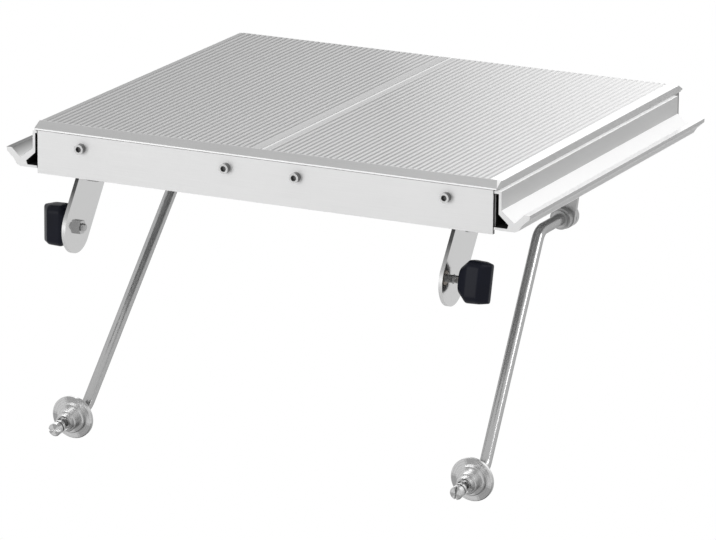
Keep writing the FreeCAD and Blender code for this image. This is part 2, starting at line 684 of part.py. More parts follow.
def pan_screw(name, at, reach):
    """Pan head screw pointing up from the plane its head bears on."""
    head = cylinder(name + "_head", "pan_head", "pan_height", at, "-Z")
    shank = cylinder(name + "_shank", "screw_size", reach, at)
    return fused(name, [head, shank])


def arm_hanger(label, side):
    """Angle under the front crossbar that carries the clamp arm's pivot."""
    near = "arm_pivot_y - hanger_width / 2"
    low_x = f"{HANGER_OUTER} - hanger_flange" if side > 0 else f"-{HANGER_OUTER}"
    cheek_x = HANGER_INNER if side > 0 else f"-{HANGER_OUTER}"
    top = f"{BAR_UNDER} - hanger_thick"
    flange = box(label + "_flange", ("hanger_flange", "hanger_width", "hanger_thick"), (low_x, near, top))
    cheek_tall = f"{BAR_UNDER} - {PIVOT_Z}"
    cheek_at = (cheek_x, "arm_pivot_y - hanger_cheek / 2", PIVOT_Z)
    cheek = box(label + "_cheek", ("hanger_thick", "hanger_cheek", cheek_tall), cheek_at)
    outward = "+X" if side > 0 else "-X"
    inner_face = f"{side} * {HANGER_INNER}"
    pivot_at = (inner_face, "arm_pivot_y", PIVOT_Z)
    end = cylinder(label + "_end", "hanger_cheek", "hanger_thick", pivot_at, outward)
    bore_at = (f"{inner_face} - {side} * overrun", "arm_pivot_y", PIVOT_Z)
    bore_long = "hanger_thick + 2 * overrun"
    bore = cylinder(label + "_bore", "pivot_size + fit_play", bore_long, bore_at, outward)
    drills = [bore]
    for index, y in enumerate(hanger_screw_rows(), start=1):
        at = (foot_screw_places(side)[0], y, f"{top} - overrun")
        drill_long = "hanger_thick + 2 * overrun"
        drills.append(cylinder(f"{label}_drill_{index}", "screw_size + seat_play", drill_long, at))
    return node(cut(label, fused(label + "_angle", [flange, cheek, end]), drills), label)


def hanger_screw_rows():
    return ["(arm_pivot_y - hanger_width / 4)", "(arm_pivot_y + hanger_width / 4)"]


def rod_bracket(label, side):
    """Bracket under the rear crossbar: a flange and a hanging plate with the bush's hole."""
    centre = f"{side} * {ROD_X}"
    plate_outline = [
        (f"{centre} - lug_half_top", f"{BAR_UNDER}"),
        (f"{centre} + lug_half_top", f"{BAR_UNDER}"),
        (f"{centre} + lug_round", ROD_Z),
        (f"{centre} - lug_round", ROD_Z),
    ]
    flange_outline = [
        (f"{centre} - lug_half_top", f"{BAR_UNDER} - lug_thick"),
        (f"{centre} + lug_half_top", f"{BAR_UNDER} - lug_thick"),
        (f"{centre} + lug_half_top", f"{BAR_UNDER}"),
        (f"{centre} - lug_half_top", f"{BAR_UNDER}"),
    ]
    bracket = doc.addObject("PartDesign::Body", label)
    plate = drawing(bracket, label + "_plate_outline", "XZ_Plane", [plate_outline])
    pad(bracket, label + "_plate", plate, "lug_thick", True)
    end = drawing(bracket, label + "_end_ring", "XZ_Plane", (), [(centre, ROD_Z, "2 * lug_round")])
    pad(bracket, label + "_end", end, "lug_thick", True)
    flange = drawing(bracket, label + "_flange_outline", "XZ_Plane", [flange_outline])
    pad(bracket, label + "_flange", flange, "lug_flange", True)
    bore_ring = (centre, ROD_Z, "bush_sleeve + seat_play")
    bore = drawing(bracket, label + "_bore_ring", "XZ_Plane", (), [bore_ring])
    pocket(bracket, label + "_bore", bore, "lug_thick")
    rings = [(x, f"{REAR_BAR_MID} - {LUG_Y}", "screw_size + seat_play") for x in lug_screw_places(side)]
    holes = drawing(bracket, label + "_hole_rings", "XY_Plane", (), rings, BAR_UNDER)
    pocket(bracket, label + "_holes", holes, "lug_thick")
    place(bracket, ("0", LUG_Y, "0"))
    return node(bracket, label)


def lug_screw_places(side):
    """Screws each side of the outer port web."""
    web = f"{side} * {PORT_OUTER}"
    return [f"({web} - bar_screw_offset)", f"({web} + bar_screw_offset)"]


def bar_screws():
    """Screws of the two crossbars, with the brackets' screws among them."""
    front, rear = [], []
    for word, side in TWO_SIDES:
        inner = foot_screw_places(side)[1]
        at = (inner, FRONT_BAR_MID, BAR_UNDER)
        front.append(pan_screw(f"front_bar_screw_{word}", at, "bar_screw_short"))
        at = (inner, REAR_BAR_MID, BAR_UNDER)
        rear.append(pan_screw(f"rear_bar_screw_{word}", at, "bar_screw_short"))
        for index, y in enumerate(hanger_screw_rows(), start=1):
            at = (foot_screw_places(side)[0], y, f"{BAR_UNDER} - hanger_thick")
            front.append(pan_screw(f"hanger_screw_{word}_{index}", at, "bar_screw_reach"))
        for index, x in enumerate(lug_screw_places(side), start=1):
            at = (x, REAR_BAR_MID, f"{BAR_UNDER} - lug_thick")
            rear.append(pan_screw(f"lug_screw_{word}_{index}", at, "bar_screw_reach"))
    node(grouped("front_bar_screws", front), "front_bar_screws")
    node(grouped("rear_bar_screws", rear), "rear_bar_screws")


def crossbars():
    front_holes, rear_holes = [], []
    for word, side in TWO_SIDES:
        inner = foot_screw_places(side)[1]
        front_holes.append((inner, FRONT_BAR_MID))
        rear_holes.append((inner, REAR_BAR_MID))
        front_holes += [(foot_screw_places(side)[0], y) for y in hanger_screw_rows()]
        rear_holes += [(x, REAR_BAR_MID) for x in lug_screw_places(side)]
    crossbar("front_crossbar", FRONT_BAR_Y, HANGER_OUTER, front_holes)
    crossbar("rear_crossbar", "rear_bar_y", f"({DECK_HALF} - rear_bar_inset)", rear_holes)


# Clamp arms
def arm_pivot_pieces(word, side):
    """Bolt, two washers and nut that carry a clamp arm on its hanger."""
    outward = "+X" if side > 0 else "-X"
    inward = "-X" if side > 0 else "+X"
    pivot = ("arm_pivot_y", PIVOT_Z)
    outer_washer = f"{side} * ({ARM_OUTER} + side_play)"
    head_face = f"{side} * ({ARM_OUTER} + side_play + washer_thick)"
    head = hexagon(f"pivot_{word}_head", "hex_flats", "hex_head", (head_face, *pivot), outward)
    shank_long = f"{ARM_OUTER} + side_play + washer_thick - {HANGER_INNER} + nut_height + pivot_tail"
    shank = cylinder(f"pivot_{word}_shank", "pivot_size", shank_long, (head_face, *pivot), inward)
    node(fused(f"arm_pivot_bolt_{word}", [head, shank]), f"arm_pivot_bolt_{word}")
    washers = []
    inner_washer = f"{side} * {HANGER_OUTER}"
    for name, start in (("outer", outer_washer), ("inner", inner_washer)):
        ring = cylinder(f"washer_{word}_{name}_ring", "washer_size", "washer_thick", (start, *pivot), outward)
        hole_at = (f"{start} - {side} * overrun", *pivot)
        hole_long = "washer_thick + 2 * overrun"
        hole = cylinder(f"washer_{word}_{name}_hole", "pivot_size + fit_play", hole_long, hole_at, outward)
        washers.append(cut(f"washer_{word}_{name}", ring, [hole]))
    node(grouped(f"arm_washers_{word}", washers), f"arm_washers_{word}")
    nut_face = f"{side} * {HANGER_INNER}"
    blank = hexagon(f"pivot_nut_{word}_blank", "hex_flats", "nut_height", (nut_face, *pivot), inward)
    hole_at = (f"{nut_face} + {side} * overrun", *pivot)
    hole_long = "nut_height + 2 * overrun"
    hole = cylinder(f"pivot_nut_{word}_hole", "pivot_size + seat_play", hole_long, hole_at, inward)
    node(cut(f"arm_pivot_nut_{word}", blank, [hole]), f"arm_pivot_nut_{word}")


def hung_at_pivot(item, word):
    """Lean a piece drawn hanging below the pivot towards the saw."""
    place(item, ("0", "arm_pivot_y", PIVOT_Z))
    turn(item, (1, 0, 0), f"-arm_lean_{word}")


def clamp_arm(label, word, side):
    """Flat bar with round ends, drawn hanging straight down from its pivot."""
    outward = "+X" if side > 0 else "-X"
    inner_face = f"{side} * {ARM_INNER}"
    low_x = ARM_INNER if side > 0 else f"-{ARM_OUTER}"
    corner = (low_x, "-arm_width / 2", "-arm_reach")
    bar = box(label + "_bar", ("arm_thick", "arm_width", "arm_reach"), corner)
    top = cylinder(label + "_top", "arm_width", "arm_thick", (inner_face, "0", "0"), outward)
    end = cylinder(label + "_end", "arm_width", "arm_thick", (inner_face, "0", "-arm_reach"), outward)
    hole_x = f"{inner_face} - {side} * overrun"
    hole_long = "arm_thick + 2 * overrun"
    pivot = cylinder(label + "_pivot", "pivot_size + fit_play", hole_long, (hole_x, "0", "0"), outward)
    stud_hole = "pivot_size + stud_hole_play"
    stud = cylinder(label + "_stud", stud_hole, hole_long, (hole_x, "0", "-bolt_reach"), outward)
    arm = cut(label, fused(label + "_blank", [bar, top, end]), [pivot, stud])
    hung_at_pivot(arm, word)
    return node(arm, label)


def clamp_nut(label, word, side):
    """Nut welded to the inside of the arm, on the clamp stud."""
    inward = "-X" if side > 0 else "+X"
    face = f"{side} * {ARM_INNER}"
    blank = hexagon(label + "_blank", "hex_flats", "clamp_nut_height", (face, "0", "-bolt_reach"), inward)
    hole_at = (f"{face} + {side} * overrun", "0", "-bolt_reach")
    hole_long = "clamp_nut_height + 2 * overrun"
    hole = cylinder(label + "_hole", "pivot_size + fit_play", hole_long, hole_at, inward)
    nut = cut(label, blank, [hole])
    hung_at_pivot(nut, word)
    return node(nut, label)


def bolt_line(word):
    """Where the clamp stud's axis crosses the plane of Y and Z."""
    y = f"arm_pivot_y - bolt_reach * sin(arm_lean_{word})"
    z = f"{PIVOT_Z} - bolt_reach * cos(arm_lean_{word})"
    return y, z


def on_bolt_line(item, word, side):
    """Put a piece drawn about the X axis on the clamp stud's line, its gap from the arm."""
    place(item, (f"{side} * ({ARM_OUTER} + knob_gap_{word})", *bolt_line(word)))
    turn(item, (1, 0, 0), f"knob_turn_{word}")


def clamp_stud(label, word, side):
    """Stud from inside the knob through the arm and its nut."""
    outward = "+X" if side > 0 else "-X"
    tail = "(stud_tail + clamp_nut_height + arm_thick)"
    start = f"{side} * ({ARM_OUTER} + knob_gap_{word} - {tail})"
    stud = cylinder(label, "pivot_size", f"{tail} + stud_grip", (start, *bolt_line(word)), outward)
    return node(stud, label)


def knob_insert(label, word, side):
    """Metal insert moulded into the knob, blind at its outer end."""
    outward = "+X" if side > 0 else "-X"
    blank = cylinder(label + "_blank", "insert_size", "insert_depth", ("0", "0", "0"), outward)
    hole_at = (f"{-side} * overrun", "0", "0")
    hole_long = "stud_grip + side_play + overrun"
    hole = cylinder(label + "_hole", "pivot_size + fit_play", hole_long, hole_at, outward)
    insert = cut(label, blank, [hole])
    on_bolt_line(insert, word, side)
    return node(insert, label)


def rounded_section(name, x, wide, tall, corner):
    """Rounded rectangle across the X axis, its corners as arcs."""
    sketch = doc.addObject("Sketcher::SketchObject", name)
    sketch.Placement = FreeCAD.Placement(FreeCAD.Vector(), ACROSS_X)
    sketch.setExpression(".Placement.Base.x", cells(x))
    across, up = f"({wide}) / 2", f"({tall}) / 2"
    flat_across, flat_up = f"({across} - ({corner}))", f"({up} - ({corner}))"
    sides = [
        ((across, f"-{flat_up}"), (across, flat_up)),
        ((flat_across, up), (f"-{flat_across}", up)),
        ((f"-{across}", flat_up), (f"-{across}", f"-{flat_up}")),
        ((f"-{flat_across}", f"-({up})"), (flat_across, f"-({up})")),
    ]
    middles = [
        (flat_across, flat_up),
        (f"-{flat_across}", flat_up),
        (f"-{flat_across}", f"-{flat_up}"),
        (flat_across, f"-{flat_up}"),
    ]
    for start, stop in sides:
        ends = [FreeCAD.Vector(value(a), value(b), 0) for a, b in (start, stop)]
        sketch.addGeometry(Part.LineSegment(*ends), False)
    for quarter, (a, b) in enumerate(middles):
        circle = Part.Circle(FreeCAD.Vector(value(a), value(b), 0), FreeCAD.Vector(0, 0, 1), value(corner))
        begin = quarter * math.pi / 2
        sketch.addGeometry(Part.ArcOfCircle(circle, begin, begin + math.pi / 2), False)
    for index, points in enumerate(sides):
        for end, (a, b) in enumerate(points, start=1):
            for kind, text in (("DistanceX", a), ("DistanceY", b)):
                rule = sketch.addConstraint(Sketcher.Constraint(kind, -1, 1, index, end, value(text)))
                sketch.setExpression(f"Constraints[{rule}]", cells(text))
    for quarter, (a, b) in enumerate(middles):
        arc = len(sides) + quarter
        sketch.addConstraint(Sketcher.Constraint("Coincident", quarter, 2, arc, 1))
        sketch.addConstraint(Sketcher.Constraint("Coincident", arc, 2, (quarter + 1) % len(sides), 1))
        rule = sketch.addConstraint(Sketcher.Constraint("DistanceX", -1, 1, arc, 3, value(a)))
        sketch.setExpression(f"Constraints[{rule}]", cells(a))
    return sketch


def clamp_knob(label, word, side):
    """Wing grip: a domed base, a straight waist and a tapered outer end."""
    stations = [
        ("neck", "0", "knob_neck", "knob_neck_long", "knob_neck_corner"),
        ("base", "knob_base", "knob_wide", "knob_long", "knob_corner"),
        ("waist", "knob_base + knob_waist", "knob_wide", "knob_long_waist", "knob_corner"),
        ("top", KNOB_LENGTH, "knob_wide_top", "knob_long_top", "knob_corner_top"),
    ]
    sections = []
    for name, x, wide, tall, corner in stations:
        sections.append(rounded_section(f"{label}_{name}", f"{side} * ({x})", wide, tall, corner))
    grip = doc.addObject("Part::Loft", label + "_grip")
    grip.Sections = sections
    grip.Solid = True
    grip.Ruled = True
    outward = "+X" if side > 0 else "-X"
    socket_at = (f"{-side} * overrun", "0", "0")
    socket_long = "insert_depth + overrun"
    socket = cylinder(label + "_socket", "insert_size + seat_play", socket_long, socket_at, outward)
    knob = cut(label, grip, [socket])
    on_bolt_line(knob, word, side)
    return node(knob, label)


# Support rods and feet
def hung_on_rod_line(item, side):
    """Lean a piece drawn below the rod's pivot line outward."""
    place(item, (f"{side} * {ROD_X}", "0", ROD_Z))
    turn(item, (0, 1, 0), f"{-side} * rod_splay")


def bent_path(points, radius):
    """Straight runs joined by tangent arcs of one radius."""
    edges = []
    start = points[0]
    for before, corner, after in zip(points, points[1:], points[2:]):
        back = (before - corner).normalize()
        ahead = (after - corner).normalize()
        half_turn = (math.pi - back.getAngle(ahead)) / 2
        setback = radius * math.tan(half_turn)
        leave = corner + back * setback
        join = corner + ahead * setback
        bisector = (back + ahead).normalize()
        middle = corner + bisector * (radius / math.cos(half_turn) - radius)
        edges.append(Part.LineSegment(start, leave).toShape())
        edges.append(Part.Arc(leave, middle, join).toShape())
        start = join
    edges.append(Part.LineSegment(start, points[-1]).toShape())
    return Part.Wire(edges)


def support_rod(label, side):
    """Round rod with a level stub at each end, bent from one length."""
    tilt = math.radians(value("foot_tilt"))
    foot = FreeCAD.Vector(0, value("foot_y"), -value("rod_fall"))
    forward = FreeCAD.Vector(0, -math.cos(tilt), -math.sin(tilt))
    points = [
        FreeCAD.Vector(0, value(f"{COLLAR_Y} + collar_long + rod_tail"), 0),
        FreeCAD.Vector(0, value(f"{LUG_Y} - rod_upper_run"), 0),
        foot - forward * (value("rod_foot_run") / math.cos(tilt)),
        foot + forward * value(ROD_END),
    ]
    path = bent_path(points, value("rod_curve"))
    ring = Part.Circle(points[0], FreeCAD.Vector(0, 1, 0), value("rod_size / 2")).toShape()
    rod = doc.addObject("Part::Feature", label)
    rod.Shape = path.makePipeShell([Part.Wire([ring])], True, True)
    hung_on_rod_line(rod, side)
    return node(rod, label)


def ring_of(name, outside, inside, length, y, z="0"):
    """Plain ring about a line along Y, from y backward."""
    blank = cylinder(name + "_blank", outside, length, ("0", y, z), "+Y")
    hole = cylinder(name + "_hole", inside, f"{length} + 2 * overrun", ("0", f"{y} - overrun", z), "+Y")
    return cut(name + "_ring", blank, [hole])


def rod_bush(label, side):
    """Collared bush in the bracket, in which the rod turns."""
    collar_y = f"{LUG_Y} - bush_collar_long"
    collar = cylinder(label + "_collar", "bush_collar", "bush_collar_long", ("0", collar_y, "0"), "+Y")
    sleeve_long = "lug_thick + bush_tail"
    sleeve = cylinder(label + "_sleeve", "bush_sleeve", sleeve_long, ("0", LUG_Y, "0"), "+Y")
    bore_long = "bush_collar_long + lug_thick + bush_tail + 2 * overrun"
    bore_at = ("0", f"{collar_y} - overrun", "0")
    bore = cylinder(label + "_bore", "rod_size + fit_play", bore_long, bore_at, "+Y")
    bush = cut(label, fused(label + "_blank", [collar, sleeve]), [bore])
    place(bush, (f"{side} * {ROD_X}", "0", ROD_Z))
    return node(bush, label)


def rod_clip(label, side):
    """Retaining ring on the rod, ahead of the bush."""
    y = f"{LUG_Y} - bush_collar_long - side_play - clip_thick"
    clip = ring_of(label, "clip_size", "rod_size + seat_play", "clip_thick", y)
    hung_on_rod_line(clip, side)
    return node(clip, label)


def rod_collar(label, side):
    """Set collar on the rod, behind the bracket."""
    ring = ring_of(label, "collar_size", "rod_size + seat_play", "collar_long", COLLAR_Y)
    hole_at = ("0", f"{COLLAR_Y} + collar_long / 2", "0")
    hole = cylinder(label + "_grub_hole", "grub_size + seat_play", "collar_size", hole_at)
    collar = cut(label, ring, [hole])
    hung_on_rod_line(collar, side)
    return node(collar, label)


def collar_screw(label, side):
    """Grub screw of the set collar, flush with its rim."""
    y = f"{COLLAR_Y} + collar_long / 2"
    length = "(collar_size - rod_size) / 2"
    blank = cylinder(label + "_blank", "grub_size", length, ("0", y, "rod_size / 2"))
    key_flats = "grub_size / 2"
    key = hexagon(label + "_key", key_flats, "grub_size", ("0", y, f"rod_size / 2 + {length} / 2"))
    screw = cut(label, blank, [key])
    hung_on_rod_line(screw, side)
    return node(screw, label)


def turned(name, outline):
    """A body turned about the Y axis from an outline of radius and Y."""
    body = doc.addObject("PartDesign::Body", name)
    sketch = drawing(body, name + "_outline", "XY_Plane", [outline])
    turned_form = body.newObject("PartDesign::Revolution", name + "_turned")
    turned_form.Profile = sketch
    turned_form.ReferenceAxis = (sketch, ["V_Axis"])
    turned_form.Angle = 360
    return body


def at_foot(item, label, side):
    """Put a piece turned about its own Y on the tilted line of the rod's lower stub."""
    place(item, ("0", "foot_y", "-rod_fall"))
    turn(item, (1, 0, 0), "foot_tilt")
    hung = grouped(label, [item])
    hung_on_rod_line(hung, side)
    return node(hung, label)


def foot_flange(label, side):
    """Round flange with a step in front, on the rod's lower stub."""
    bore = "(rod_size + seat_play) / 2"
    rim = "disc_size / 2"
    outline = [
        (bore, DISC_HALF),
        (f"{rim} - disc_edge", DISC_HALF),
        (rim, f"{DISC_HALF} - disc_edge"),
        (rim, f"disc_edge - {DISC_HALF}"),
        (f"{rim} - disc_edge", f"-{DISC_HALF}"),
        ("hub_size / 2", f"-{DISC_HALF}"),
        ("hub_size / 2", f"disc_edge - {HUB_FRONT}"),
        ("hub_size / 2 - disc_edge", f"-{HUB_FRONT}"),
        (bore, f"-{HUB_FRONT}"),
    ]
    return at_foot(turned(label + "_form", outline), label, side)


def foot_spigot(label, side):
    """Spigot that enters the hole in the saw's body, with a recessed sleeve; the rod ends inside."""
    rim = "spigot_size / 2"
    bore = "(rod_size + seat_play) / 2"
    outline = [
        (bore, f"-{HUB_FRONT}"),
        (rim, f"-{HUB_FRONT}"),
        (rim, f"spigot_edge - {SPIGOT_FRONT}"),
        (f"{rim} - spigot_edge", f"-{SPIGOT_FRONT}"),
        ("boss_size / 2", f"-{SPIGOT_FRONT}"),
        ("boss_size / 2", f"-{BOSS_FRONT}"),
        ("cup_size / 2", f"-{BOSS_FRONT}"),
        ("cup_size / 2", f"-{CUP_FLOOR}"),
        ("0", f"-{CUP_FLOOR}"),
        ("0", f"-{ROD_END}"),
        (bore, f"-{ROD_END}"),
    ]
    return at_foot(turned(label + "_form", outline), label, side)


def foot_lock(label, word, side):
    """Slotted headed pin in the sleeve's recess, which locks the foot behind the saw's wall."""
    neck = "lock_neck / 2"
    ring_back = f"({CUP_FLOOR} + lock_neck_long)"
    ring_front = f"({ring_back} + lock_ring_long)"
    head_back = f"({ring_front} + lock_groove_long)"
    tip = f"({head_back} + lock_head_long)"
    outline = [
        ("0", f"-{CUP_FLOOR}"),
        (neck, f"-{CUP_FLOOR}"),
        (neck, f"-{ring_back}"),
        ("lock_ring / 2", f"-{ring_back}"),
        ("lock_ring / 2", f"-{ring_front}"),
        (neck, f"-{ring_front}"),
        (neck, f"-{head_back}"),
        ("lock_head / 2", f"-{head_back}"),
        ("lock_head / 2", f"lock_edge - {tip}"),
        ("lock_head / 2 - lock_edge", f"-{tip}"),
        ("0", f"-{tip}"),
    ]
    pin = turned(label + "_form", outline)
    half = "(lock_head / 2 + overrun)"
    slot = [
        ("-slot_width / 2", f"-{half}"),
        ("slot_width / 2", f"-{half}"),
        ("slot_width / 2", half),
        ("-slot_width / 2", half),
    ]
    start = f"{tip} - slot_deep"
    slot_drawing = drawing(pin, label + "_slot_outline", "XZ_Plane", [slot], (), start)
    spin = FreeCAD.Rotation(FreeCAD.Vector(0, 0, 1), 1)
    slot_drawing.AttachmentOffset = FreeCAD.Placement(FreeCAD.Vector(), spin)
    slot_drawing.setExpression(".AttachmentOffset.Rotation.Angle", cells(f"-slot_turn_{word}"))
    pocket(pin, label + "_slot", slot_drawing, "slot_deep + overrun", True)
    return at_foot(pin, label, side)


def check_and_export():
    """Stop if any object failed, then write each sub-part."""
    doc.recompute()
    for item in doc.Objects:
        if "Invalid" in item.State or "Error" in item.State:
            raise RuntimeError(f"{item.Name} failed: {item.State}")
    for item in nodes:
        if item.Shape.isNull() or not item.Shape.isValid():
            raise RuntimeError(f"{item.Label} has no valid shape")
    os.makedirs("parts", exist_ok=True)
    for item in nodes:
        item.Shape.exportStep(f"parts/{item.Label}.step")
        print(f"{item.Label}: {len(item.Shape.Solids)} solids, {item.Shape.Volume:.1f} mm3")


deck_board("deck_board_left", -1)
deck_board("deck_board_right", 1)
joint_strip()
end_nosing("front_nosing", False)
end_nosing("rear_nosing", True)
end_plate("front_plate", False)
end_plate("rear_plate", True)
plate_screws("front_plate_screws", False)
plate_screws("rear_plate_screws", True)
crossbars()
bar_screws()
for word, side in TWO_SIDES:
    side_rail(f"side_rail_{word}", word, side)
    rail_screws(f"rail_screws_{word}", side)
    arm_hanger(f"arm_hanger_{word}", side)
    arm_pivot_pieces(word, side)
    clamp_arm(f"clamp_arm_{word}", word, side)
    clamp_nut(f"clamp_nut_{word}", word, side)
    clamp_stud(f"clamp_stud_{word}", word, side)
    knob_insert(f"knob_insert_{word}", word, side)
    clamp_knob(f"clamp_knob_{word}", word, side)
    rod_bracket(f"rod_bracket_{word}", side)
    rod_bush(f"rod_bush_{word}", side)
    rod_clip(f"rod_clip_{word}", side)
    support_rod(f"support_rod_{word}", side)
    rod_collar(f"rod_collar_{word}", side)
    collar_screw(f"collar_screw_{word}", side)
    foot_flange(f"foot_flange_{word}", side)
    foot_spigot(f"foot_spigot_{word}", side)
    foot_lock(f"foot_lock_{word}", word, side)
check_and_export()
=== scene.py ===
import math
from collections import namedtuple

import bmesh
import bpy
from mathutils import Matrix, Vector


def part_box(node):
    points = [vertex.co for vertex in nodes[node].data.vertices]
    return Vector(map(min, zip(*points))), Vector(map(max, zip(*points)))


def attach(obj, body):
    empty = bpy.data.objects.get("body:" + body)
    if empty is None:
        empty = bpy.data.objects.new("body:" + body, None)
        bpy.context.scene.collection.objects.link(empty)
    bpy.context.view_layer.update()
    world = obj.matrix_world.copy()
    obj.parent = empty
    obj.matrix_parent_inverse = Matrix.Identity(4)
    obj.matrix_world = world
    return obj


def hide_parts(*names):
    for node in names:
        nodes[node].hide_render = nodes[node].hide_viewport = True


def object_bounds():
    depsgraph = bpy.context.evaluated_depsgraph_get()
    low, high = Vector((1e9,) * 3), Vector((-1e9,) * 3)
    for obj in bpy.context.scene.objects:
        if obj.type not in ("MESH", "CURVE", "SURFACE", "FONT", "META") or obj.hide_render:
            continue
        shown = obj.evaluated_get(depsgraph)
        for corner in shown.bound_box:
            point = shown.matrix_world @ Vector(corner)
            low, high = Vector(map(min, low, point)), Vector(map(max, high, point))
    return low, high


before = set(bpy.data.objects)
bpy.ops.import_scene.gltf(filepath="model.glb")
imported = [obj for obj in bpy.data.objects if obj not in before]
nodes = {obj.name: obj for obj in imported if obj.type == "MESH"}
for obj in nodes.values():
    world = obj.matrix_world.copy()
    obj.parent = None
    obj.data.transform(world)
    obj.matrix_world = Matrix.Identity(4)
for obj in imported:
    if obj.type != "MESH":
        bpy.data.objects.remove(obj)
cad_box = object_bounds()

MM = 0.001
SIDES = (("left", -1), ("right", 1))

# Places that the materials and the finer pieces share with the solids, in millimetres:
# X from the middle, Y from the front face, heights from the deck's top and so negative below it
DECK_TOP_MM = 29.2
DECK_HALF_MM = 250
DECK_LENGTH_MM = 451
NOSING_DEPTH_MM = 11
MITRE_RUN_MM = 5
RAIL_WALL_MM = {"left": 252, "right": 255}
PLATE_SCREWS_MM = (197.6, 38.0)
PLATE_SCREW_HEIGHT_MM = -20.0
SOCKET_RADIUS_MM = 2.95
ARM_OUTER_MM = 206
KNOB_GAP_MM = {"left": 1.6, "right": 8.3}
KNOB_TURN_DEGREES = {"left": 0, "right": -13}
FOOT_X_MM = 219.73
FOOT_Y_MM = 20.1
FOOT_HEIGHT_MM = -303.61
FOOT_FALL = 0.0945

# The clamp bolts' line, measured from the origin
BOLT_Y_MM = 0.781
BOLT_Z_MM = -70.862

# Camera, as fitted to the photograph
IMAGE_WIDTH_PIXELS = 716
FOCAL_PIXELS = 5489.7
SENSOR_MM = 36
CLIP_END_M = 50
CAMERA_AT = Vector((2.3240, -4.5639, 1.3477))
CAMERA_AZIMUTH = 25.93
CAMERA_ELEVATION = 15.66
CAMERA_ROLL = 0.49


def make_camera():
    data = bpy.data.cameras.new("camera")
    data.sensor_width = SENSOR_MM
    data.lens = FOCAL_PIXELS * SENSOR_MM / IMAGE_WIDTH_PIXELS
    data.clip_end = CLIP_END_M
    camera = bpy.data.objects.new("camera", data)
    bpy.context.scene.collection.objects.link(camera)
    aim = Matrix.Rotation(math.radians(CAMERA_AZIMUTH), 4, "Z")
    aim = aim @ Matrix.Rotation(math.radians(90 - CAMERA_ELEVATION), 4, "X")
    aim = aim @ Matrix.Rotation(math.radians(CAMERA_ROLL), 4, "Z")
    camera.matrix_world = Matrix.Translation(CAMERA_AT) @ aim
    bpy.context.scene.camera = camera


# Node tree helpers
def feed(tree, socket, given):
    """Link a socket to another node's output, or set it to a plain value."""
    if isinstance(given, bpy.types.NodeSocket):
        tree.links.new(given, socket)
    else:
        socket.default_value = given


def linked(tree, kind, **inputs):
    """A node whose inputs are values or other nodes' outputs; an underscore stands for a space."""
    item = tree.nodes.new(kind)
    for name, given in inputs.items():
        feed(tree, item.inputs[name.replace("_", " ")], given)
    return item


def math_node(tree, operation, *inputs):
    item = tree.nodes.new("ShaderNodeMath")
    item.operation = operation
    for socket, given in zip(item.inputs, inputs):
        feed(tree, socket, given)
    return item.outputs[0]


def absolute(tree, value):
    return math_node(tree, "ABSOLUTE", value)


def above(tree, value, limit):
    return math_node(tree, "GREATER_THAN", value, limit)


def below(tree, value, limit):
    return math_node(tree, "LESS_THAN", value, limit)


def all_of(tree, *masks):
    total = masks[0]
    for mask in masks[1:]:
        total = math_node(tree, "MULTIPLY", total, mask)
    return total


def any_of(tree, *masks):
    total = masks[0]
    for mask in masks[1:]:
        total = math_node(tree, "MAXIMUM", total, mask)
    return total


def between(tree, value, low, high):
    return all_of(tree, above(tree, value, low), below(tree, value, high))


def fade(tree, value, start, stop):
    """Goes from 0 at start to 1 at stop, and is level on either side."""
    return linked(tree, "ShaderNodeMapRange", Value=value, From_Min=start, From_Max=stop).outputs[0]


def squared_distance(tree, first, second):
    """First squared plus second squared."""
    squares = [math_node(tree, "MULTIPLY", value, value) for value in (first, second)]
    return math_node(tree, "ADD", *squares)


def ramp(tree, factor, stops):
    item = tree.nodes.new("ShaderNodeValToRGB")
    tree.links.new(factor, item.inputs["Fac"])
    for element, (place, colour) in zip(item.color_ramp.elements, stops):
        element.position = place
        element.color = (*colour, 1)
    return item.outputs["Color"]


Place = namedtuple("Place", "off along up across")


def position(tree):
    """Where a point is, in millimetres.

    Off is its distance from the middle plane, along its way from the front face, up its height over
    the deck's top, and across its signed X.
    """
    place = linked(tree, "ShaderNodeTexCoord").outputs["Object"]
    parts = linked(tree, "ShaderNodeSeparateXYZ", Vector=place).outputs
    across = math_node(tree, "MULTIPLY", parts["X"], 1 / MM)
    along = math_node(tree, "MULTIPLY", parts["Y"], 1 / MM)
    up = math_node(tree, "MULTIPLY_ADD", parts["Z"], 1 / MM, -DECK_TOP_MM)
    return Place(absolute(tree, across), along, up, across)


def face_normal(tree):
    """Which way a face points, as X, Y and Z from -1 to 1."""
    normal = linked(tree, "ShaderNodeTexCoord").outputs["Normal"]
    return linked(tree, "ShaderNodeSeparateXYZ", Vector=normal).outputs


# Metals and plastic
ALONG_X = (0.02, 1, 1)
ALONG_Y = (1, 0.02, 1)
NOISE_SPAN = (0.3, 0.7)
FINE_SHARE = 0.6
BROAD_SHARE = 0.4
BROAD_SCALE = 9.0
ROUGHNESS_SWING = 0.07
LEAST_ROUGHNESS = 0.02
BUMP_DEPTH_M = 0.0002

PLASTIC_COLOUR = (0.005, 0.006, 0.012)
PLASTIC_TONES = (0.8, 1.2)
PLASTIC_SPAN = (0.35, 0.65)
PLASTIC_GRAIN = 1400.0
PLASTIC_BROAD_SCALE = 30.0
PLASTIC_BUMP = 0.25
PLASTIC_ROUGHNESS = (0.36, 0.48)
PLASTIC_SPECULAR = 0.12

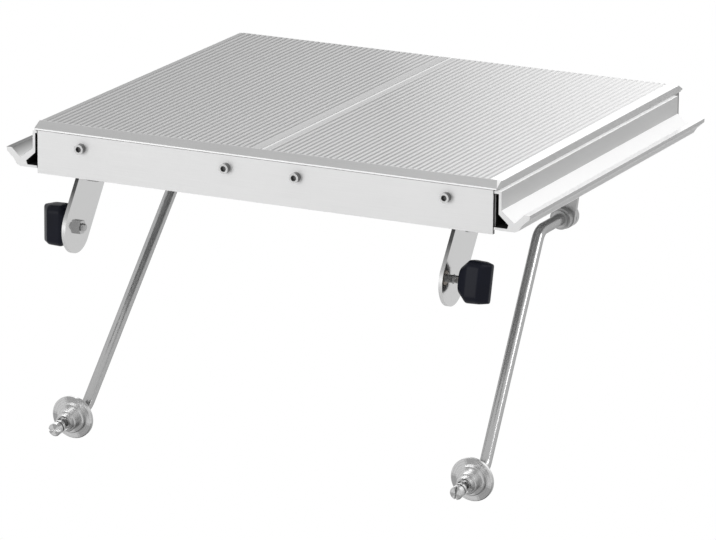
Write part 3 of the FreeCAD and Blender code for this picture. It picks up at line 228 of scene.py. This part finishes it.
# Tones laid over the metals, as 8-bit grey levels; most are painted light and shade rather than the
# metals' own colour
TONES = {
    # Painted highlights, painted reflections and painted brightening
    "white": 252,
    "pale line": 250,
    "deck's right": 222,
    # Painted shade in the deck's rib grooves
    "groove": 140,
    "seam": 186,
    # Painted shade: board sides and undersides, rail uprights, lips, the hollow, plate ends, screw sides
    # and sockets
    "board's side": 180,
    "board's underside": 150,
    "rail's upright": 186,
    "lip's inner top": 96,
    "lip's flat": 90,
    "lip's outside": 176,
    "hollow": 5,
    "plate's end": 96,
    "screw's side": 120,
    "socket": 96,
    # A painted highlight on the arm's cut edge, and a painted shadow at its top
    "arm's edge": 205,
    "arm's upper edge": 70,
    # Painted reflection fans, darker turning rings that are partly painted reflection, and painted shade
    # under the feet
    "bright fan": 214,
    "dark fan": 128,
    "ring": 130,
    "foot's underside": 74,
}


def grey(level, warmth=0.0):
    """Linear colour for an sRGB grey level from 0 to 255, warmer where warmth is above zero."""
    share = level / 255
    linear = share / 12.92 if share <= 0.04045 else ((share + 0.055) / 1.055) ** 2.4
    return (linear * (1 + warmth), linear, linear * (1 - warmth))


def new_material(name):
    """A node material, with its tree and its shader."""
    material = bpy.data.materials.new(name)
    material.use_nodes = True
    return material, material.node_tree, material.node_tree.nodes["Principled BSDF"]


def metal(
    name, level, metallic, roughness, streaks=(1, 1, 1), spread=0.06, bump=0.1, grain=900.0, warmth=0.0
):
    """Satin metal with fine streaks; a small number in streaks draws them long on that axis."""
    material, tree, shader = new_material(name)
    place = linked(tree, "ShaderNodeTexCoord").outputs["Object"]
    stretch = linked(tree, "ShaderNodeMapping", Vector=place, Scale=streaks).outputs[0]
    noise = linked(tree, "ShaderNodeTexNoise", Vector=stretch, Scale=grain, Detail=4.0, Roughness=0.6)
    fine = noise.outputs["Fac"]
    broad = linked(tree, "ShaderNodeTexNoise", Vector=place, Scale=BROAD_SCALE, Detail=3.0).outputs["Fac"]
    fine_part = math_node(tree, "MULTIPLY", fine, FINE_SHARE)
    broad_part = math_node(tree, "MULTIPLY", broad, BROAD_SHARE)
    total = math_node(tree, "ADD", fine_part, broad_part)
    base = grey(level, warmth)
    dark = tuple(v * (1 - spread) for v in base)
    light = tuple(min(1, v * (1 + spread)) for v in base)
    tree.links.new(ramp(tree, total, zip(NOISE_SPAN, (dark, light))), shader.inputs["Base Color"])
    rough = linked(
        tree,
        "ShaderNodeMapRange",
        Value=fine,
        From_Min=NOISE_SPAN[0],
        From_Max=NOISE_SPAN[1],
        To_Min=max(LEAST_ROUGHNESS, roughness - ROUGHNESS_SWING),
        To_Max=roughness + ROUGHNESS_SWING,
    )
    tree.links.new(rough.outputs[0], shader.inputs["Roughness"])
    lift = linked(tree, "ShaderNodeBump", Height=fine, Strength=bump, Distance=BUMP_DEPTH_M)
    tree.links.new(lift.outputs[0], shader.inputs["Normal"])
    shader.inputs["Metallic"].default_value = metallic
    return material


def black_plastic():
    """Moulded plastic with a fine grain."""
    material, tree, shader = new_material("black_plastic")
    place = linked(tree, "ShaderNodeTexCoord").outputs["Object"]
    noise = linked(tree, "ShaderNodeTexNoise", Vector=place, Scale=PLASTIC_GRAIN, Detail=2.0)
    fine = noise.outputs["Fac"]
    noise = linked(tree, "ShaderNodeTexNoise", Vector=place, Scale=PLASTIC_BROAD_SCALE, Detail=2.0)
    broad = noise.outputs["Fac"]
    tones = [tuple(v * tone for v in PLASTIC_COLOUR) for tone in PLASTIC_TONES]
    tree.links.new(ramp(tree, broad, zip(PLASTIC_SPAN, tones)), shader.inputs["Base Color"])
    lift = linked(tree, "ShaderNodeBump", Height=fine, Strength=PLASTIC_BUMP, Distance=BUMP_DEPTH_M)
    tree.links.new(lift.outputs[0], shader.inputs["Normal"])
    low, high = PLASTIC_ROUGHNESS
    rough = linked(tree, "ShaderNodeMapRange", Value=fine, To_Min=low, To_Max=high)
    tree.links.new(rough.outputs[0], shader.inputs["Roughness"])
    shader.inputs["Specular IOR Level"].default_value = PLASTIC_SPECULAR
    return material


def repaint(material, mask, tone, share=1.0):
    """Blend the base colour to one of the tones where the mask is one."""
    tree = material.node_tree
    base = tree.nodes["Principled BSDF"].inputs["Base Color"]
    before = base.links[0].from_socket
    mix = tree.nodes.new("ShaderNodeMix")
    mix.data_type = "RGBA"
    tree.links.new(math_node(tree, "MULTIPLY", mask, share), mix.inputs["Factor"])
    tree.links.new(before, mix.inputs[6])
    mix.inputs[7].default_value = (*grey(TONES[tone]), 1)
    tree.links.new(mix.outputs[2], base)


def retune(material, mask, metallic, roughness):
    """Change the metallic share and the roughness where the mask is one."""
    tree = material.node_tree
    shader = tree.nodes["Principled BSDF"]
    for name, target in (("Metallic", metallic), ("Roughness", roughness)):
        socket = shader.inputs[name]
        before = socket.links[0].from_socket if socket.links else socket.default_value
        mix = tree.nodes.new("ShaderNodeMix")
        tree.links.new(mask, mix.inputs["Factor"])
        feed(tree, mix.inputs[2], before)
        mix.inputs[3].default_value = target
        tree.links.new(mix.outputs[0], socket)


# Deck boards: bands in millimetres, and the slant of the painted highlight on the bright corner
DRIFT_ACROSS_MM = (-260, 250)
GLARE_REACH_MM = (150, 480)
GLARE_SLANT = 0.55
GROOVE_HEIGHTS_MM = (-1.2, -0.35)
SEAM_ACROSS_MM = (-15.2, 2.6)
SEAM_LOWEST_MM = -0.2
SMOOTH_FROM_MM = 236.6
SMOOTH_LOWEST_MM = -1.0
BOARD_SIDE_FROM_MM = 249.6
BOARD_SIDE_TOP_MM = -0.75
BOARD_UNDERSIDE_MM = -8.1


def deck_metal():
    """Ribbed board with painted light: painted brightening and a painted highlight to the far right, a
    painted reflection that whitens the right band, and painted shade in the grooves and on the grey sides
    and underside.
    """
    material = metal(
        "deck_aluminium", 186, metallic=0.35, roughness=0.40, streaks=ALONG_Y, grain=1200.0, spread=0.05
    )
    tree = material.node_tree
    place = position(tree)
    # Painted light: the board is painted brighter towards the far right.
    repaint(material, fade(tree, place.across, *DRIFT_ACROSS_MM), "deck's right", share=0.8)
    # Painted shade: the rib grooves are painted darker.
    repaint(material, between(tree, place.up, *GROOVE_HEIGHTS_MM), "groove", share=0.55)
    # Painted highlight: a white glare painted over the far right corner.
    slanted = math_node(tree, "MULTIPLY", place.along, GLARE_SLANT)
    reach = math_node(tree, "ADD", place.across, slanted)
    repaint(material, fade(tree, reach, *GLARE_REACH_MM), "white", share=0.85)
    seam = all_of(
        tree, between(tree, place.across, *SEAM_ACROSS_MM), above(tree, place.up, SEAM_LOWEST_MM)
    )
    repaint(material, seam, "seam", share=0.8)
    smooth = all_of(
        tree, above(tree, place.across, SMOOTH_FROM_MM), above(tree, place.up, SMOOTH_LOWEST_MM)
    )
    # Painted reflection: the smooth right band is painted white; only its gloss below is real.
    repaint(material, smooth, "white")
    # Painted shade: the board's sides and underside are painted darker grey.
    side = all_of(
        tree, above(tree, place.off, BOARD_SIDE_FROM_MM), below(tree, place.up, BOARD_SIDE_TOP_MM)
    )
    repaint(material, side, "board's side")
    repaint(material, below(tree, place.up, BOARD_UNDERSIDE_MM), "board's underside")
    retune(material, smooth, metallic=0.8, roughness=0.3)
    return material


# Nosings: heights and places in millimetres
BEVEL_FOOT_MM = -5.7
LIP_HEIGHTS_MM = (-7.15, -5.65)
NOSING_SIDE_FROM_MM = 249.7
RIB_END_DEPTH_MM = 10.8
RIB_END_HEIGHTS_MM = (-1.2, -0.02)


def nosing_metal():
    """Bevelled bar; beyond the mitre at its right end it shows the board's bright band, a painted
    reflection. A painted highlight lines its lip, painted light lifts its inner face at the rib ends, and
    its ends carry painted shade.
    """
    material = metal(
        "nosing_aluminium", 192, metallic=0.35, roughness=0.38, streaks=ALONG_X, spread=0.05
    )
    tree = material.node_tree
    place = position(tree)
    from_rear = math_node(tree, "SUBTRACT", DECK_LENGTH_MM, place.along)
    depth = math_node(tree, "MINIMUM", place.along, from_rear)
    mitre = math_node(tree, "MULTIPLY_ADD", depth, -MITRE_RUN_MM / NOSING_DEPTH_MM, DECK_HALF_MM)
    corner = all_of(
        tree,
        above(tree, place.off, mitre),
        above(tree, place.up, BEVEL_FOOT_MM),
        above(tree, place.across, 0),
    )
    # Painted reflection: the corner beyond the mitre is painted white like the board's band.
    repaint(material, corner, "white")
    # Painted highlight: a pale line painted along the lip under the bevel.
    repaint(material, between(tree, place.up, *LIP_HEIGHTS_MM), "pale line")
    # Painted shade: the bar's ends are painted the boards' side grey.
    repaint(material, above(tree, place.off, NOSING_SIDE_FROM_MM), "board's side")
    # Painted light: the bar's inner face at the rib ends is painted pale against its shade.
    rib_ends = all_of(
        tree, above(tree, depth, RIB_END_DEPTH_MM), between(tree, place.up, *RIB_END_HEIGHTS_MM)
    )
    repaint(material, rib_ends, "pale line")
    return material


# Rails: places in millimetres, those with OUT or IN counted from the upright wall's outer face
RAIL_OUTSIDE_FROM_MM = 249.5
LEDGE_LOWEST_MM = -8.2
GROOVE_BOTTOM_OUT_MM = 13
LIP_FLAT_OUT_MM = 23
LIP_OUTSIDE_OUT_MM = 18.5
LIP_SHADE_HEIGHTS_MM = (-38, -27)
HOLLOW_ALONG_MM = (0.35, 427.6)
HOLLOW_FLOOR_MM = -43.65
HOLLOW_TOP_MM = -10.35
HOLLOW_FROM_MM = 247.3
SHAFT_IN_MM = 2.65
TOE_IN_MM = 2.9
TOE_OUT_MM = 7.6
ROOF_SLOPE = 0.903
ROOF_HEIGHT_MM = -30.15
ROOF_IN_MM = 2.8

# Rails: how much of a face's normal lies along an axis, which picks the faces painted lighter or darker by
# the way they face
SQUARE_ON = 0.9
SLOPES_UP = 0.5
LEANS_ACROSS = 0.3
NOT_AN_END = 0.35
NOT_A_TOP = 0.2


def rail_hollow(tree, place, wall):
    """Mask of the chamber inside a rail: a shaft behind the wall, and a toe under a sloping roof."""
    inside = all_of(
        tree, between(tree, place.along, *HOLLOW_ALONG_MM), above(tree, place.up, HOLLOW_FLOOR_MM)
    )
    shaft = all_of(
        tree,
        between(tree, place.off, HOLLOW_FROM_MM, wall - SHAFT_IN_MM),
        below(tree, place.up, HOLLOW_TOP_MM),
    )
    roof_start = ROOF_HEIGHT_MM + ROOF_SLOPE * (wall - ROOF_IN_MM)
    roof = math_node(tree, "MULTIPLY_ADD", place.off, -ROOF_SLOPE, roof_start)
    toe = all_of(
        tree,
        between(tree, place.off, wall - TOE_IN_MM, wall + TOE_OUT_MM),
        below(tree, place.up, roof),
    )
    return all_of(tree, inside, any_of(tree, shaft, toe))


def rail_metal(word):
    """Extruded rail: painted reflection whitens the ledge and groove slope, painted shade greys the
    upright faces and the lip, and the hollow is painted black as shade.
    """
    material = metal(
        f"rail_aluminium_{word}", 226, metallic=0.3, roughness=0.36, streaks=ALONG_Y, spread=0.04
    )
    tree = material.node_tree
    place = position(tree)
    normal = face_normal(tree)
    wall = RAIL_WALL_MM[word]
    groove_bottom = wall + GROOVE_BOTTOM_OUT_MM
    outside = above(tree, place.off, RAIL_OUTSIDE_FROM_MM)
    faces_up = above(tree, normal["Z"], SQUARE_ON)
    # Painted shade: faces that point across are painted grey.
    repaint(material, above(tree, absolute(tree, normal["X"]), SQUARE_ON), "rail's upright")
    # Painted reflection: faces that slope up outside the wall, the ledge among them, are painted white.
    bright = all_of(tree, above(tree, normal["Z"], SLOPES_UP), outside)
    ledge = all_of(tree, faces_up, above(tree, place.up, LEDGE_LOWEST_MM), outside)
    repaint(material, bright, "white")
    if word == "left":
        # Painted shade: the left lip's inner top darkens downward, and its flat top is painted dark.
        leans = above(tree, normal["X"], LEANS_ACROSS)
        inner = all_of(tree, leans, above(tree, place.off, groove_bottom))
        shade = fade(tree, place.up, *LIP_SHADE_HEIGHTS_MM)
        repaint(material, all_of(tree, inner, shade), "lip's inner top")
        flat = all_of(tree, above(tree, place.off, wall + LIP_FLAT_OUT_MM), faces_up)
        repaint(material, flat, "lip's flat")
    # Painted shade: the lip's outer faces are painted grey.
    lip = all_of(
        tree,
        above(tree, place.off, wall + LIP_OUTSIDE_OUT_MM),
        below(tree, absolute(tree, normal["Y"]), NOT_AN_END),
        below(tree, normal["Z"], NOT_A_TOP),
    )
    repaint(material, lip, "lip's outside")
    # Painted shade: the inside of the hollow is painted near black.
    hollow = rail_hollow(tree, place, wall)
    repaint(material, hollow, "hollow")
    glossy = bright if word == "right" else all_of(tree, bright, below(tree, place.off, groove_bottom))
    retune(material, glossy, metallic=0.85, roughness=0.3)
    retune(material, ledge, metallic=0.5, roughness=0.6)
    retune(material, hollow, metallic=0.0, roughness=0.9)
    return material


PLATE_END_FROM_MM = 246.4


def plate_metal():
    """End plates, pale, with painted shade on their short ends."""
    material = metal("plate_aluminium", 224, metallic=0.3, roughness=0.42, streaks=ALONG_X, spread=0.03)
    tree = material.node_tree
    # Painted shade: the short ends are painted dark.
    repaint(material, above(tree, position(tree).off, PLATE_END_FROM_MM), "plate's end")
    return material


SCREW_SIDE = 0.6


def cap_screw_metal():
    """Zinc cap screws: a bright ring round a socket dark with painted shade, and sides darker with painted
    shade.
    """
    material = metal("bright_zinc", 196, metallic=0.85, roughness=0.24, spread=0.1)
    tree = material.node_tree
    place = position(tree)
    # Painted shade: the screws' sides are painted darker.
    repaint(material, below(tree, absolute(tree, face_normal(tree)["Y"]), SCREW_SIDE), "screw's side")
    gaps = [absolute(tree, math_node(tree, "SUBTRACT", place.off, x)) for x in PLATE_SCREWS_MM]
    nearest = math_node(tree, "MINIMUM", *gaps)
    rise = math_node(tree, "SUBTRACT", place.up, PLATE_SCREW_HEIGHT_MM)
    socket = below(tree, squared_distance(tree, nearest, rise), SOCKET_RADIUS_MM ** 2)
    # Painted shade: the hex socket is painted dark.
    repaint(material, socket, "socket")
    retune(material, socket, metallic=0.2, roughness=0.6)
    return material


ARM_EDGE_HEIGHTS_MM = (-95, -62)
ARM_EDGE = 0.5


def arm_metal():
    """Glossy zinc flats; the cut edge is duller, with a painted highlight, and a painted shadow darkens it
    towards its top.
    """
    material = metal(
        "arm_zinc", 196, metallic=1.0, roughness=0.13, streaks=(1, 1, 0.05), spread=0.03, bump=0.02
    )
    tree = material.node_tree
    edge = below(tree, absolute(tree, face_normal(tree)["X"]), ARM_EDGE)
    # Painted highlight: the cut edge is painted a lighter grey.
    repaint(material, edge, "arm's edge")
    # Painted shadow: the edge darkens towards its top.
    upper = fade(tree, position(tree).up, *ARM_EDGE_HEIGHTS_MM)
    repaint(material, all_of(tree, edge, upper), "arm's upper edge")
    retune(material, edge, metallic=0.5, roughness=0.5)
    return material


ROD_TINT = (0.45, 0.45, 0.45, 1)


def rod_metal():
    """Bright round bar, greyer where it is seen at a low angle."""
    material = metal(
        "rod_steel", 180, metallic=0.72, roughness=0.2, streaks=(1, 1, 0.1), spread=0.05, bump=0.02
    )
    material.node_tree.nodes["Principled BSDF"].inputs["Specular Tint"].default_value = ROD_TINT
    return material


# Feet: waves of tone round the axis and out from it, where their sines are cut, for painted reflection
# fans and turning rings, and how far the faces turn from the axis or up and down, for painted highlight
# and shade on the flanks
FANS_AROUND = 3.0
FAN_START = 0.6
RING_WAVES = 2.6
BRIGHT_FAN_ABOVE = 0.1
DARK_FAN_BELOW = -0.3
RING_ABOVE = 0.6
FACES_ALONG = 0.7
UPPER_FLANK = (0.25, 0.8)
LOWER_FLANK = (0.1, -0.7)


def foot_metal(word, side):
    """Turned zinc: painted reflection fans and darker turning rings round the foot's axis, a painted
    highlight on the upper flanks and painted shade on the lower flanks.
    """
    material = metal(
        f"foot_zinc_{word}",
        182,
        metallic=0.8,
        roughness=0.26,
        streaks=(1, 9, 1),
        spread=0.04,
        bump=0.03,
        grain=160.0,
    )
    tree = material.node_tree
    place = position(tree)
    normal = face_normal(tree)
    from_foot = math_node(tree, "SUBTRACT", place.along, FOOT_Y_MM)
    fall = math_node(tree, "MULTIPLY", from_foot, FOOT_FALL)
    rise = math_node(tree, "SUBTRACT", math_node(tree, "SUBTRACT", place.up, FOOT_HEIGHT_MM), fall)
    aside = math_node(tree, "SUBTRACT", place.across, side * FOOT_X_MM)
    angle = math_node(tree, "ARCTAN2", rise, aside)
    radius = math_node(tree, "SQRT", squared_distance(tree, rise, aside))
    fans = math_node(tree, "SINE", math_node(tree, "MULTIPLY_ADD", angle, FANS_AROUND, FAN_START))
    rings = math_node(tree, "SINE", math_node(tree, "MULTIPLY", radius, RING_WAVES))
    facing = absolute(tree, normal["Y"])
    front = above(tree, facing, FACES_ALONG)
    flank = below(tree, facing, FACES_ALONG)
    # Painted reflection: bright and dark fans round the axis on the front faces.
    bright = all_of(tree, front, above(tree, fans, BRIGHT_FAN_ABOVE))
    dark = all_of(tree, front, below(tree, fans, DARK_FAN_BELOW))
    # Turning rings painted darker: partly lathe marks and partly painted reflection.
    turned = all_of(tree, front, above(tree, rings, RING_ABOVE))
    # Painted highlight on the upper flanks, painted shade on the lower flanks.
    upper = all_of(tree, flank, fade(tree, normal["Z"], *UPPER_FLANK))
    lower = all_of(tree, flank, fade(tree, normal["Z"], *LOWER_FLANK))
    repaint(material, bright, "bright fan", share=0.5)
    repaint(material, dark, "dark fan", share=0.5)
    repaint(material, turned, "ring", share=0.25)
    repaint(material, upper, "white")
    repaint(material, lower, "foot's underside")
    return material


def paint(material, *names):
    """Give CAD nodes their material."""
    for name in names:
        mesh = nodes[name].data
        if not mesh.materials:
            mesh.materials.append(material)
        for index in range(len(mesh.materials)):
            mesh.materials[index] = material


def paint_all():
    zinc = metal("satin_zinc", 178, metallic=0.6, roughness=0.42, spread=0.1)
    screw = metal("plain_zinc", 178, metallic=0.9, roughness=0.22, spread=0.1)
    strip = metal("strip_aluminium", 236, metallic=0.35, roughness=0.35, streaks=ALONG_Y)
    bush = metal("bush_grey", 160, metallic=0.5, roughness=0.4, spread=0.08)
    brass = metal("brass", 170, metallic=0.9, roughness=0.35, warmth=0.14)
    arm = arm_metal()
    rod = rod_metal()
    paint(deck_metal(), "deck_board_left", "deck_board_right")
    paint(strip, "joint_strip")
    paint(nosing_metal(), "front_nosing", "rear_nosing")
    paint(plate_metal(), "front_plate", "rear_plate")
    paint(cap_screw_metal(), "front_plate_screws", "rear_plate_screws")
    paint(screw, "front_bar_screws", "rear_bar_screws")
    paint(zinc, "front_crossbar", "rear_crossbar")
    screws = ("rail_screws", "collar_screw", "arm_pivot_bolt", "arm_washers", "arm_pivot_nut", "clamp_nut")
    for word, side in SIDES:
        for material, names in (
            (rail_metal(word), ("side_rail",)),
            (foot_metal(word, side), ("foot_flange", "foot_spigot", "foot_lock")),
            (zinc, ("arm_hanger", "rod_bracket", "rod_collar", "rod_clip")),
            (screw, screws),
            (arm, ("clamp_arm",)),
            (rod, ("support_rod",)),
            (bush, ("rod_bush",)),
            (brass, ("knob_insert",)),
        ):
            paint(material, *(f"{name}_{word}" for name in names))


# Knobs and studs, made finer than the plain solids they stand for
def add_ring(form, x, points):
    """Vertices at x from points in Y and Z, all in millimetres."""
    return [form.verts.new((x * MM, y * MM, z * MM)) for y, z in points]


def skin(form, one, other):
    """Quads between two rings."""
    count = len(one)
    for index in range(count):
        following = (index + 1) % count
        form.faces.new((one[index], one[following], other[following], other[index]))


def close(form, ring, place):
    """A fan of triangles from a ring to one point."""
    middle = form.verts.new(place)
    count = len(ring)
    for index in range(count):
        form.faces.new((ring[index], ring[(index + 1) % count], middle))


def new_piece(name, form, material):
    """An object made of the form, its faces turned outward."""
    bmesh.ops.recalc_face_normals(form, faces=form.faces)
    mesh = bpy.data.meshes.new(name)
    form.to_mesh(mesh)
    form.free()
    mesh.materials.append(material)
    piece = bpy.data.objects.new(name, mesh)
    bpy.context.scene.collection.objects.link(piece)
    return piece


def rounded_loop(wide, tall, corner, steps=6):
    """Points of a rounded rectangle, anticlockwise, in Y and Z."""
    points = []
    for quarter, (sign_y, sign_z) in enumerate(((1, 1), (-1, 1), (-1, -1), (1, -1))):
        middle_y = sign_y * (wide / 2 - corner)
        middle_z = sign_z * (tall / 2 - corner)
        for step in range(steps + 1):
            angle = math.pi / 2 * (quarter + step / steps)
            points.append((middle_y + corner * math.cos(angle), middle_z + corner * math.sin(angle)))
    return points


def blend_stations(stations, share):
    """Put a close pair of rings beside each station, so that a subdivided edge is rounded but not lost."""
    rings = [stations[0]]
    for before, here, after in zip(stations, stations[1:], stations[2:]):
        rings.append(tuple(h + (b - h) * share for h, b in zip(here, before)))
        rings.append(here)
        rings.append(tuple(h + (a - h) * share for h, a in zip(here, after)))
    rings.append(stations[-1])
    return rings


# Knob's rings, in millimetres: place along its axis from the arm, width, height, corner radius
KNOB_STATIONS = (
    (0.0, 17.6, 25.6, 8.4),
    (0.7, 19.0, 27.0, 9.0),
    (9.5, 26.0, 42.0, 8.0),
    (22.5, 26.0, 41.0, 8.0),
    (30.6, 6.8, 37.9, 3.0),
    (31.0, 4.6, 35.6, 2.2),
)
KNOB_BLEND_SHARE = 0.2

# Knob's bore round its insert, in millimetres: radius, depth
KNOB_BORE = ((7.6, 0.0), (7.15, 0.3), (7.1, 15.9))
KNOB_SUBDIVISIONS = 2
MERGE_M = 1e-7


def make_knob(word, side, material):
    """Wing knob: a rounded wedge with a bore for its insert."""
    form = bmesh.new()
    outer = []
    for x, wide, tall, corner in blend_stations(KNOB_STATIONS, KNOB_BLEND_SHARE):
        outer.append(add_ring(form, side * x, rounded_loop(wide, tall, corner)))
    for low, high in zip(outer, outer[1:]):
        skin(form, low, high)
    bore = [outer[0]]
    for radius, depth in KNOB_BORE:
        bore.append(add_ring(form, side * depth, rounded_loop(2 * radius, 2 * radius, radius)))
    for low, high in zip(bore, bore[1:]):
        skin(form, high, low)
    close(form, bore[-1], (side * KNOB_BORE[-1][1] * MM, 0, 0))
    close(form, outer[-1], (side * KNOB_STATIONS[-1][0] * MM, 0, 0))
    bmesh.ops.remove_doubles(form, verts=form.verts, dist=MERGE_M)
    for face in form.faces:
        face.smooth = True
    knob = new_piece(f"wing_knob_{word}", form, material)
    turn = Matrix.Rotation(math.radians(KNOB_TURN_DEGREES[word]), 4, "X")
    at = Vector((side * (ARM_OUTER_MM + KNOB_GAP_MM[word]) * MM, BOLT_Y_MM * MM, BOLT_Z_MM * MM))
    knob.matrix_world = Matrix.Translation(at) @ turn
    smooth = knob.modifiers.new("smooth", "SUBSURF")
    smooth.levels = KNOB_SUBDIVISIONS
    smooth.render_levels = KNOB_SUBDIVISIONS
    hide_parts(f"clamp_knob_{word}")
    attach(knob, f"knob_{word}")


# Studs' thread, in millimetres
THREAD_PITCH = 1.25
THREAD_RADIUS = 3.99
THREAD_DEPTH = 0.62
THREAD_ROUNDING = 0.8
CHAMFER_RADIUS = 3.0
THREAD_SIDES = 28
ROWS_PER_TURN = 6


def thread_radius(x, turn, end):
    """Stud's radius at x and a share of a turn, where end is the way to the stud's nearer end."""
    phase = (x / THREAD_PITCH + turn) % 1
    groove = THREAD_DEPTH * (1 - abs(2 * phase - 1) ** THREAD_ROUNDING)
    return min(THREAD_RADIUS - groove, CHAMFER_RADIUS + end)


def make_stud(word, material):
    """Threaded stud: a helical groove with chamfered ends."""
    low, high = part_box(f"clamp_stud_{word}")
    start, stop = low[0] / MM, high[0] / MM
    rows = int((stop - start) / THREAD_PITCH * ROWS_PER_TURN)
    form = bmesh.new()
    rings = []
    for row in range(rows + 1):
        x = start + (stop - start) * row / rows
        points = []
        for index in range(THREAD_SIDES):
            angle = 2 * math.pi * index / THREAD_SIDES
            radius = thread_radius(x, index / THREAD_SIDES, min(x - start, stop - x))
            points.append((BOLT_Y_MM + radius * math.cos(angle), BOLT_Z_MM + radius * math.sin(angle)))
        rings.append(add_ring(form, x, points))
    for one, other in zip(rings, rings[1:]):
        skin(form, one, other)
    for ring, x in ((rings[0], start), (rings[-1], stop)):
        close(form, ring, (x * MM, BOLT_Y_MM * MM, BOLT_Z_MM * MM))
    stud = new_piece(f"threaded_stud_{word}", form, material)
    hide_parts(f"clamp_stud_{word}")
    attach(stud, f"stud_{word}")


# Studio, in metres and watts
BACKDROP_LEVEL = 1.0
FILL_LEVEL = 0.4
FLOOR_HALF_M = 9.0
FLOOR_DROP_M = 0.55
FLOOR_COLOUR = (0.9, 0.9, 0.9, 1)
FLOOR_ROUGHNESS = 0.9

# Lamps: name, place, what it points at, its two sides, power
LAMPS = (
    ("key", (-1.2, -3.0, 0.6), (0, 0.1, 0), (1.6, 1.6), 36),
    ("side", (1.7, 0.35, 1.0), (0.2, 0.1, -0.2), (0.7, 0.7), 9),
    ("overhead", (-0.3, 1.9, 1.9), (0, 0.2, 0), (1.4, 0.8), 14),
)


def rays_of(tree, *kinds):
    """Mask of the named kinds of ray."""
    rays = tree.nodes.new("ShaderNodeLightPath")
    return any_of(tree, *(rays.outputs[f"Is {kind} Ray"] for kind in kinds))


def make_world():
    """White backdrop for what the camera, gloss and glass see, plain level light for the rest."""
    world = bpy.data.worlds.new("studio")
    bpy.context.scene.world = world
    world.use_nodes = True
    tree = world.node_tree
    background = tree.nodes["Background"]
    seen = rays_of(tree, "Camera", "Glossy", "Transmission")
    level = linked(tree, "ShaderNodeMapRange", Value=seen, To_Min=FILL_LEVEL, To_Max=BACKDROP_LEVEL)
    background.inputs["Color"].default_value = (1, 1, 1, 1)
    tree.links.new(level.outputs[0], background.inputs["Strength"])


def area_light(name, place, target, size, power):
    data = bpy.data.lights.new(name, "AREA")
    data.shape = "RECTANGLE"
    data.size, data.size_y = size
    data.energy = power
    lamp = bpy.data.objects.new(name, data)
    bpy.context.scene.collection.objects.link(lamp)
    aim = (Vector(target) - Vector(place)).to_track_quat("-Z", "Y")
    lamp.matrix_world = Matrix.Translation(place) @ aim.to_matrix().to_4x4()


def floor_material():
    """Pale and matt, but plain white to the camera and in reflections."""
    material, tree, shader = new_material("floor_white")
    shader.inputs["Base Color"].default_value = FLOOR_COLOUR
    shader.inputs["Roughness"].default_value = FLOOR_ROUGHNESS
    glow = linked(tree, "ShaderNodeEmission", Color=(1, 1, 1, 1), Strength=BACKDROP_LEVEL)
    mix = linked(tree, "ShaderNodeMixShader", Fac=rays_of(tree, "Camera", "Glossy"))
    tree.links.new(shader.outputs[0], mix.inputs[1])
    tree.links.new(glow.outputs[0], mix.inputs[2])
    tree.links.new(mix.outputs[0], tree.nodes["Material Output"].inputs["Surface"])
    return material


def make_floor():
    """Floor well below, since the part hangs at bench height."""
    half = FLOOR_HALF_M
    low = cad_box[0][2] - FLOOR_DROP_M
    corners = [(-half, -half, low), (half, -half, low), (half, half, low), (-half, half, low)]
    mesh = bpy.data.meshes.new("floor")
    mesh.from_pydata(corners, [], [(0, 1, 2, 3)])
    mesh.materials.append(floor_material())
    floor = bpy.data.objects.new("floor", mesh)
    bpy.context.scene.collection.objects.link(floor)


make_camera()
make_world()
make_floor()
for lamp in LAMPS:
    area_light(*lamp)
paint_all()
knob_black = black_plastic()
stud_zinc = metal("stud_zinc", 165, metallic=0.9, roughness=0.25, spread=0.1)
for word, side in SIDES:
    make_knob(word, side, knob_black)
    make_stud(word, stud_zinc)

bpy.context.scene.view_settings.view_transform = "Standard"
